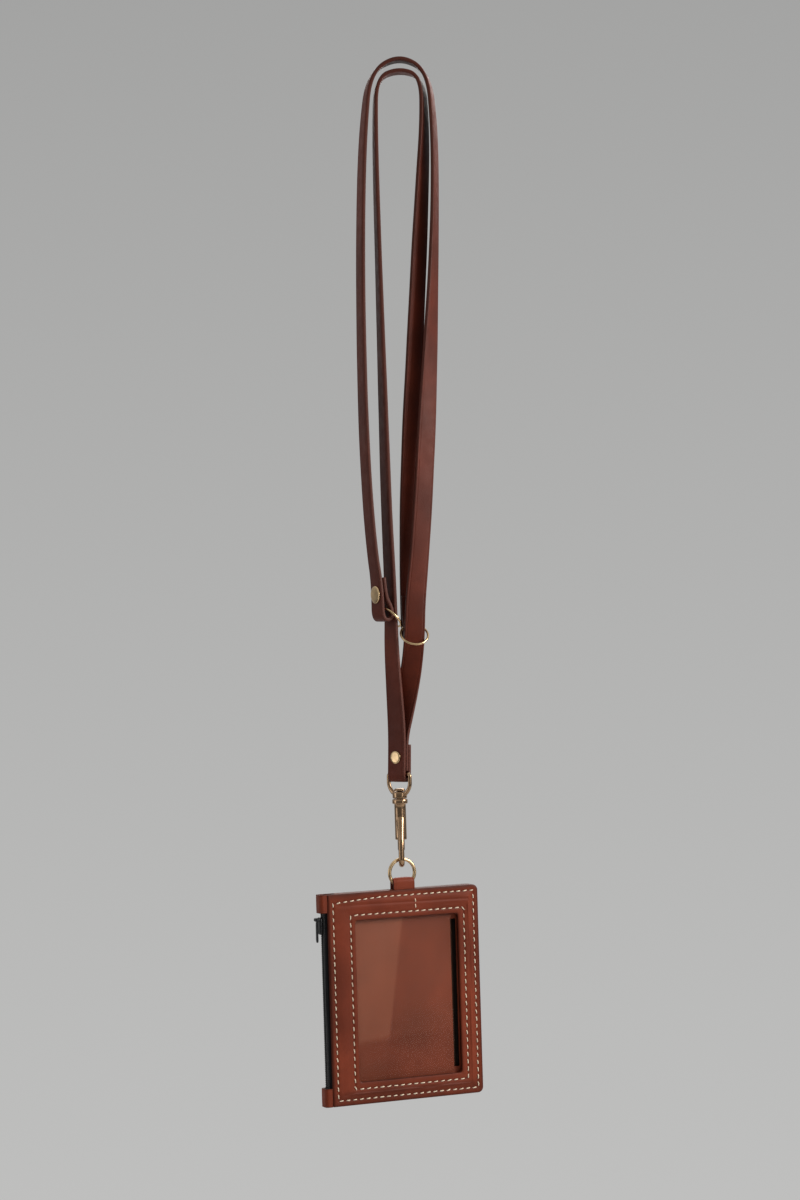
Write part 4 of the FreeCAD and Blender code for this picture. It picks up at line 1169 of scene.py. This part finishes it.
def zip_pull():
    """Pull: a bored eye on the slider's pin, and a blade that widens downwards."""
    pivot, rim = zip_pivot()
    low, high = box_mm("zip_pull")
    half = (high[1] - low[1]) / 2
    eye = revolve([(PULL_BORE, -half), (rim - PULL_ROUND, -half), (rim, PULL_ROUND - half),
                   (rim, half - PULL_ROUND), (rim - PULL_ROUND, half), (PULL_BORE, half)],
                  pivot, Y_AXIS, 28, hollow=True)
    length = pivot[2] - rim * 0.8 - low[2]
    blade, blade_faces = rounded_box((PULL_HALF, half, length / 2), 5.0, 26, 36)
    blade[:, 1] *= 0.8 + 0.2 * np.clip(-blade[:, 2] / length * 2, 0, 1)
    points, faces = joined([eye, (blade + [pivot[0], pivot[1], low[2] + length / 2], blade_faces)])
    piece("zip.pull", points, faces, finish("zip_metal"), "pull", ["zip_pull"])


class BADGE_OT_zip(bpy.types.Operator):
    """Make the zip: tapes, coils, end tabs, slider and pull"""

    bl_idname = "badge.zip"
    bl_label = "Zip"

    def execute(self, context):
        zip_tape("zip.tape.front", "zip_tape_front", 1.0)
        zip_tape("zip.tape.back", "zip_tape_back", -1.0)
        zip_coil("zip.coil.front", "zip_teeth_front", 0.0)
        zip_coil("zip.coil.back", "zip_teeth_back", 0.5)
        zip_end("zip.end.top", "zip_top_tab")
        zip_end("zip.end.bottom", "zip_bottom_tab")
        zip_slider()
        zip_pull()
        return {"FINISHED"}


EYE_WIRE = 2.1
EYE_HALF = 7.3
EYE_TURN = math.radians(-63.5)
EYE_SHOULDER = 4.5
EYE_CORNER = 1.6
EYE_ROOT = 1.8
EYE_SWELL = 0.16
EYE_SWELL_DROP = 8.0
EYE_SWELL_FADE = 3.0
BOSS = 3.9
BOSS_BORE = 1.66
BOSS_HEIGHT = 3.5
PIN = 1.5
PIN_BORE = 1.52
PIN_PLAY = 0.3
COLLAR = 4.15
COLLAR_HEIGHT = 2.6
BARREL = 3.1
BARREL_HEIGHT = 19.2
BARREL_COLUMNS = 72
BORE = 2.1
SLOT_BELOW = 0.95
SLOT_ABOVE = 6.95
SLOT_COLUMNS = (14, 21)
BOLT = 1.9
KNOB_STEM = 0.7
HOOK_WIRE = 1.6
HOOK_BEND = 3.5
HOOK_KNEE = 4.0
HOOK_SPINE = 7.6
HOOK_TIP = 3.4
ARM_CLEAR = 0.3
ARM_BACK = 0.8
ARM_DROP = 7.2
ARM_SWELL = 0.75
ARM_SWELL_SHARE = 0.34
SPRING_WIRE = 0.25
BAR_UP = corner_mm("swivel_eye", 1)[2] - EYE_WIRE / 2
BOSS_LOW = corner_mm("swivel_eye", 0)[2]
BOSS_HIGH = BOSS_LOW + BOSS_HEIGHT
COLLAR_TOP = corner_mm("snap_hook", 1)[2]
BARREL_TOP = COLLAR_TOP - COLLAR_HEIGHT
BARREL_LOW = BARREL_TOP - BARREL_HEIGHT
HOOK_UP = corner_mm("snap_hook", 0)[2] + HOOK_WIRE + HOOK_BEND
KNOB_UP = sum(box_mm("bolt_knob"))[2] / 2


def at_snap(points, turn):
    """Points from the snap's own upright axis, turned about it and moved to its place."""
    points = np.asarray(points, dtype=float)
    cos, sin = math.cos(turn), math.sin(turn)
    x = points[:, 0] * cos - points[:, 1] * sin + SNAP_AXIS[0]
    y = points[:, 0] * sin + points[:, 1] * cos + SNAP_AXIS[1]
    return np.stack([x, y, points[:, 2]], axis=1)


def spaced(path, step):
    """A path with points at even steps."""
    path = np.asarray(path, dtype=float)
    along = run_along(path)
    return read_off(np.linspace(0, along[-1], int(along[-1] / step) + 2), along, path)


def round_bar(path, side, radii, rounds=22):
    """Round wire along a path, of a given radius at each point."""
    a = round_angles(rounds)
    circle = np.stack([np.cos(a), np.sin(a)], axis=1)
    return tube(path, side, circle[None] * np.asarray(radii)[:, None, None])


def eye_wire():
    """Line of the swivel eye's wire, from one side of its boss over the bar to the other side.

    Each side is an arc from the boss to the upright shoulder, and a quarter circle into the bar.
    """
    drop = BAR_UP - (BOSS_LOW + BOSS_HIGH) / 2 - EYE_SHOULDER
    run = EYE_HALF - EYE_ROOT
    bend = (run * run + drop * drop) / (2 * run)
    sweep = np.linspace(math.atan2(drop, bend - run), 0, 24)
    quarter = np.linspace(0, math.pi / 2, 10)
    x = EYE_HALF + np.r_[bend * (np.cos(sweep) - 1), EYE_CORNER * (np.cos(quarter) - 1)]
    z = BAR_UP + np.r_[-EYE_SHOULDER - bend * np.sin(sweep), EYE_CORNER * (np.sin(quarter) - 1)]
    side = np.stack([x, np.zeros_like(x), z], axis=1)
    return np.concatenate([side, side[::-1] * [-1, 1, 1]])


def swivel_eye():
    """Bent wire, thicker at its roots, and the bored boss that it grows from."""
    wire = spaced(eye_wire(), 0.5)
    low = np.clip((BAR_UP - EYE_SWELL_DROP - wire[:, 2]) / EYE_SWELL_FADE, 0, 1)
    swell = EYE_WIRE / 2 * (1 + EYE_SWELL * low)
    profile = raised(BOSS_LOW, [(BOSS_BORE, 0.0), (3.4, 0.0), (3.78, 0.12), (BOSS, 0.45)])
    profile += raised(BOSS_HIGH, [(BOSS, -0.6), (3.75, -0.15), (3.3, 0.0), (BOSS_BORE, 0.0)])
    return joined([round_bar(wire, Y_AXIS, swell), revolve(profile, turns=64, hollow=True)])


def swivel_pin():
    """Pin that holds the eye's boss on the collar, with a low domed head."""
    profile = raised(COLLAR_TOP, [(1.3, -2.35), (PIN, -2.2)])
    profile += raised(BOSS_HIGH + PIN_PLAY, [(PIN, 0.0), (2.75, 0.0), (2.95, 0.15), (3.0, 0.45), (2.95, 0.9),
                                             (2.6, 1.3), (1.7, 1.55), (0.6, 1.6)])
    return revolve(profile)


def slotted_barrel():
    """Barrel and collar turned about the upright axis, bored, with the knob's slot open at the back."""
    slot = np.linspace(KNOB_UP - SLOT_BELOW, KNOB_UP + SLOT_ABOVE, 6)
    below = raised(BARREL_LOW, [(BORE, 0.0), (2.7, 0.0), (2.95, 0.12), (BARREL, 0.45), (BARREL, 2.0)])
    above = raised(BARREL_TOP, [(BARREL, -3.0), (BARREL, -0.25), (3.3, -0.04), (3.8, 0.05), (4.08, 0.25),
                                (COLLAR, 0.6)])
    above += raised(COLLAR_TOP, [(COLLAR, -0.8), (4.05, -0.35), (3.7, -0.06), (3.4, 0.0), (PIN_BORE, 0.0),
                                 (PIN_BORE, -2.4)])
    above += raised(BARREL_TOP, [(BORE, -1.0)])
    profile = np.array(below + [(BARREL, z) for z in slot] + above + [(BORE, z) for z in slot[::-1]])
    rows, columns = len(profile), BARREL_COLUMNS
    angle = round_angles(columns) + math.pi / columns
    points = np.stack([profile[:, :1] * np.cos(angle), profile[:, :1] * np.sin(angle),
                       np.repeat(profile[:, 1:], columns, axis=1)], axis=-1).reshape(-1, 3)
    first, last = len(below), len(below) + len(slot) - 1
    inner = rows - len(slot)
    left, right = SLOT_COLUMNS
    row, column = np.meshgrid(np.arange(rows), np.arange(columns), indexing="ij")
    cut = ((row >= first) & (row < last)) | ((row >= inner) & (row < rows - 1))
    cut &= (column >= left) & (column < right)
    faces = list(quads(rows, columns, True, True)[~cut.ravel()])

    def wall(k, c, next_k, next_c, flip):
        """One face of the slot's wall, between the outside and the bore."""
        a, b = (first + k) * columns + c, (rows - 1 - k) * columns + c
        d, e = (first + next_k) * columns + next_c, (rows - 1 - next_k) * columns + next_c
        faces.append([a, d, e, b] if flip else [a, b, e, d])

    end = len(slot) - 1
    for k in range(end):
        wall(k, left, k + 1, left, False)
        wall(k, right, k + 1, right, True)
    for c in range(left, right):
        wall(0, c, 0, c + 1, True)
        wall(end, c, end, c + 1, False)
    return points, faces


def hook_arm():
    """Spine and bend of the hook: it leaves the barrel's side, runs down and turns up to the bolt.

    Its root is broad and ends in the barrel's wall, clear of the bore.
    """
    root = np.array([0.0, -ARM_BACK, BARREL_TOP - ARM_DROP])
    knee = np.array([0.0, -2 * HOOK_BEND, HOOK_UP + HOOK_SPINE])
    t = np.linspace(0, 1, 14)[:, None]
    before, after = knee + unit(root - knee) * HOOK_KNEE, knee - [0, 0, HOOK_KNEE]
    corner = (1 - t) ** 2 * before + 2 * t * (1 - t) * knee + t * t * after
    turn = np.linspace(math.pi, 2 * math.pi, 30)
    bow = np.stack([0 * turn, HOOK_BEND * (np.cos(turn) - 1), HOOK_UP + HOOK_BEND * np.sin(turn)], axis=1)
    tip = np.array([[0.0, 0.0, HOOK_UP + HOOK_TIP]])
    path = spaced(np.concatenate([root[None], corner, bow, tip]), 0.45)
    share = np.linspace(0, 1, len(path))
    swell = ARM_SWELL * np.clip(1 - share / ARM_SWELL_SHARE, 0, 1) ** 1.3
    radii = HOOK_WIRE + swell - 0.06 * np.sin(math.pi * share)
    radii[-3:] *= [0.99, 0.95, 0.84]
    points, faces = round_bar(path, X_AXIS, radii)
    x, y, z = points.T
    clear = BORE + ARM_CLEAR
    in_bore = (np.hypot(x, y) < clear) & (z > BARREL_LOW)
    points[:, 1] = np.where(in_bore, -np.sqrt(np.maximum(clear ** 2 - x * x, 0)), y)
    return points, faces


def bolt_and_knob():
    """Sliding bolt with a rounded tip, and the thumb knob on its back."""
    low, high = box_mm("snap_bolt")
    shaft = raised(low[2], [(1.2, 0.0), (1.7, 0.08), (1.88, 0.35), (BOLT, 0.7)])
    shaft += raised(high[2], [(BOLT, -0.3), (1.7, 0.0)])
    knob = [(KNOB_STEM, -0.3), (KNOB_STEM, 1.68), (1.3, 1.72), (1.6, 1.85), (1.7, 2.15), (1.68, 2.5),
            (1.5, 2.75), (1.1, 2.87), (0.3, 2.9)]
    return joined([revolve(shaft, turns=40), revolve(knob, (0, BOLT, KNOB_UP), Y_AXIS, 36)])


def coil_spring(low, high, radius, wire, turns=8):
    """Round wire on a helix between two heights."""
    angle = np.linspace(0, 2 * math.pi * turns, turns * 24)
    up = np.linspace(low + wire, high - wire, len(angle))
    path = np.stack([radius * np.cos(angle), radius * np.sin(angle), up], axis=1)
    return round_bar(path, Z_AXIS, np.full(len(path), wire), 10)


class BADGE_OT_snap(bpy.types.Operator):
    """Make the bolt snap and the ring under it"""

    bl_idname = "badge.snap"
    bl_label = "Bolt snap"

    def execute(self, context):
        for name, (points, faces), turn, body, replaced in (
                ("snap.eye", swivel_eye(), EYE_TURN, "eye", ["swivel_eye"]),
                ("snap.pin", swivel_pin(), VIEW_TURN, "hook", ["swivel_pin"]),
                ("snap.hook", joined([slotted_barrel(), hook_arm()]), VIEW_TURN, "hook", ["snap_hook"]),
                ("snap.bolt", bolt_and_knob(), VIEW_TURN, "bolt", ["snap_bolt", "bolt_knob"])):
            piece(name, at_snap(points, turn), faces, finish("brass"), body, replaced)
        low, high = box_mm("bolt_spring")
        points, faces = coil_spring(low[2], high[2], (high[0] - low[0]) / 2 - SPRING_WIRE, SPRING_WIRE)
        spring = piece("snap.spring", at_snap(points, VIEW_TURN), faces, finish("spring"), "hook",
                       ["bolt_spring"])
        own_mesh(spring)
        wire = (RING_HIGH[1] - RING_LOW[1]) / 2
        radius = (RING_HIGH[2] - RING_LOW[2]) / 2 - wire
        points, faces = torus((RING_LOW + RING_HIGH) / 2, Y_AXIS, radius, wire)
        piece("snap.ring", points, faces, finish("caps"), "ring", ["tab_ring"])
        return {"FINISHED"}


CAMERA_AWAY = 1.605
CAMERA_ACROSS = -0.00803
CAMERA_UP = -0.2857
CAMERA_ROLL = math.asin(0.030)
CAMERA_LENS = 90.0
CAMERA_SENSOR = 36.0
CAMERA_NEAR = 0.05
FLOOR_RADIUS = 1.2
FLOOR_UP = -0.95
FLOOR_SIDES = 96
WINDOW_ROLL = math.radians(-16.7)
# Soft boxes: name, place, aim, width, height, watts and tone
LIGHTS = (
    ("Key", (0.95, -0.75, 0.10), (0, 0, -0.42), 0.7, 0.7, 19.0, (1.0, 0.96, 0.91)),
    ("Fill", (-1.17, 0.20, -0.37), (0, 0, -0.37), 0.6, 0.7, 1.8, (0.97, 0.98, 1.0)),
    ("Rim", (0.5, 0.9, 0.3), (0, 0, -0.35), 0.6, 0.6, 5.0, (1.0, 0.98, 0.95)),
    ("Window", (0.542, -1.463, -0.447), (0.542, 0, -0.447), 0.35, 0.6, 1.4, (1.0, 1.0, 1.0)),
)


def soft_light(name, place, aim, width, height, watts, tone):
    """A soft box aimed at a point."""
    lamp = bpy.data.lights.new(name, "AREA")
    lamp.shape = "RECTANGLE"
    lamp.size = width
    lamp.size_y = height
    lamp.energy = watts
    lamp.color = tone
    obj = bpy.data.objects.new(name, lamp)
    obj.location = place
    obj.rotation_euler = (Vector(aim) - Vector(place)).to_track_quat("-Z", "Y").to_euler()
    bpy.context.scene.collection.objects.link(obj)
    return obj


def set_camera(scene, ahead, across):
    """Camera in front of the part, at the height of its middle and rolled a little."""
    upright = Vector((0, 0, 1))
    up = upright * math.cos(CAMERA_ROLL) + across * math.sin(CAMERA_ROLL)
    right = across * math.cos(CAMERA_ROLL) - upright * math.sin(CAMERA_ROLL)
    place = ahead * -CAMERA_AWAY + across * CAMERA_ACROSS + Vector((0, 0, CAMERA_UP))
    lens = bpy.data.cameras.new("Camera")
    lens.lens = CAMERA_LENS
    lens.sensor_width = CAMERA_SENSOR
    lens.clip_start = CAMERA_NEAR
    camera = bpy.data.objects.new("Camera", lens)
    basis = Matrix((right, up, -ahead)).transposed().to_4x4()
    camera.matrix_world = Matrix.Translation(place) @ basis
    scene.collection.objects.link(camera)
    scene.camera = camera


def set_backdrop(scene, ahead):
    """Plain grey all round: it falls off softly behind the part, and is dimmer behind the camera."""
    world = bpy.data.worlds.new("Backdrop")
    world.use_nodes = True
    tree = world.node_tree
    way = add(tree, "TexCoord").outputs["Generated"]
    height = add(tree, "SeparateXYZ", {0: way}).outputs["Z"]
    facing = add(tree, "VectorMath", {0: way, 1: tuple(ahead)}, operation="DOT_PRODUCT").outputs["Value"]
    grey = tuple(colours().backdrop)
    behind = blend_colour(tree, spread(tree, height, -0.2, 0.22), tint(grey, 1.16), tint(grey, 0.80))
    around = blend_colour(tree, spread(tree, height, -0.15, 0.8), tint(grey, 0.42), tint(grey, 1.9))
    dim = spread(tree, facing, -0.85, -0.35, 0.55, 1.0)
    around = blend_colour(tree, dim, tint(grey, 0.35), around)
    tone = blend_colour(tree, spread(tree, facing, 0.45, 0.90), around, behind)
    tree.links.new(tone, tree.nodes["Background"].inputs["Color"])
    scene.world = world


def lay_floor(scene):
    """A round pale floor well below the part."""
    ground, tree, shader = start_finish("Floor", Roughness=0.9)
    cloud = noise(tree, add(tree, "TexCoord").outputs["Object"], 6.0)
    tone = blend_colour(tree, cloud, (0.56, 0.55, 0.54, 1.0), (0.62, 0.61, 0.60, 1.0))
    link(tree, shader, Base_Color=tone)
    angle = round_angles(FLOOR_SIDES)
    rim = np.c_[FLOOR_RADIUS * np.cos(angle), FLOOR_RADIUS * np.sin(angle), np.full(FLOOR_SIDES, FLOOR_UP)]
    mesh = bpy.data.meshes.new("Floor")
    mesh.from_pydata(rim.tolist(), [], [list(range(FLOOR_SIDES))])
    mesh.materials.append(ground)
    floor = bpy.data.objects.new("Floor", mesh)
    scene.collection.objects.link(floor)


class BADGE_OT_stage(bpy.types.Operator):
    """Set the camera, the soft lights, the plain background and the floor"""

    bl_idname = "badge.stage"
    bl_label = "Stage"

    def execute(self, context):
        turn = -VIEW_TURN
        ahead = Vector((math.sin(turn), math.cos(turn), 0))
        set_camera(context.scene, ahead, Vector((math.cos(turn), -math.sin(turn), 0)))
        set_backdrop(context.scene, ahead)
        context.scene.view_settings.view_transform = "Standard"
        lamps = [soft_light(*row) for row in LIGHTS]
        lamps[-1].rotation_euler.rotate_axis("Z", WINDOW_ROLL)
        lay_floor(context.scene)
        return {"FINISHED"}


class BADGE_PT_panel(bpy.types.Panel):
    """Sidebar panel with the sizes, the colours and a button for each group of pieces"""

    bl_idname = "BADGE_PT_panel"
    bl_label = "Badge wallet"
    bl_space_type = "VIEW_3D"
    bl_region_type = "UI"
    bl_category = "Badge wallet"

    def draw(self, context):
        column = self.layout.column()
        for group in (context.scene.badge_sizes, context.scene.badge_colours):
            for key in group.bl_rna.properties.keys():
                if key not in ("rna_type", "name"):
                    column.prop(group, key)
        for operator in OPERATORS:
            column.operator(operator.bl_idname)


OPERATORS = (BADGE_OT_stage, BADGE_OT_straps, BADGE_OT_snap, BADGE_OT_panels, BADGE_OT_film, BADGE_OT_tab,
             BADGE_OT_layers, BADGE_OT_stitches, BADGE_OT_zip)
CLASSES = (BadgeSizes, BadgeColours) + OPERATORS + (BADGE_PT_panel,)


def register():
    for item in CLASSES:
        bpy.utils.register_class(item)
    bpy.types.Scene.badge_sizes = bpy.props.PointerProperty(type=BadgeSizes)
    bpy.types.Scene.badge_colours = bpy.props.PointerProperty(type=BadgeColours)


def unregister():
    del bpy.types.Scene.badge_colours
    del bpy.types.Scene.badge_sizes
    for item in reversed(CLASSES):
        bpy.utils.unregister_class(item)


def main():
    """Build every group in order."""
    register()
    bpy.ops.badge.stage()
    bpy.ops.badge.straps()
    bpy.ops.badge.snap()
    bpy.ops.badge.panels()
    bpy.ops.badge.film()
    bpy.ops.badge.tab()
    bpy.ops.badge.layers()
    bpy.ops.badge.stitches()
    bpy.ops.badge.zip()


if __name__ == "__main__":
    main()
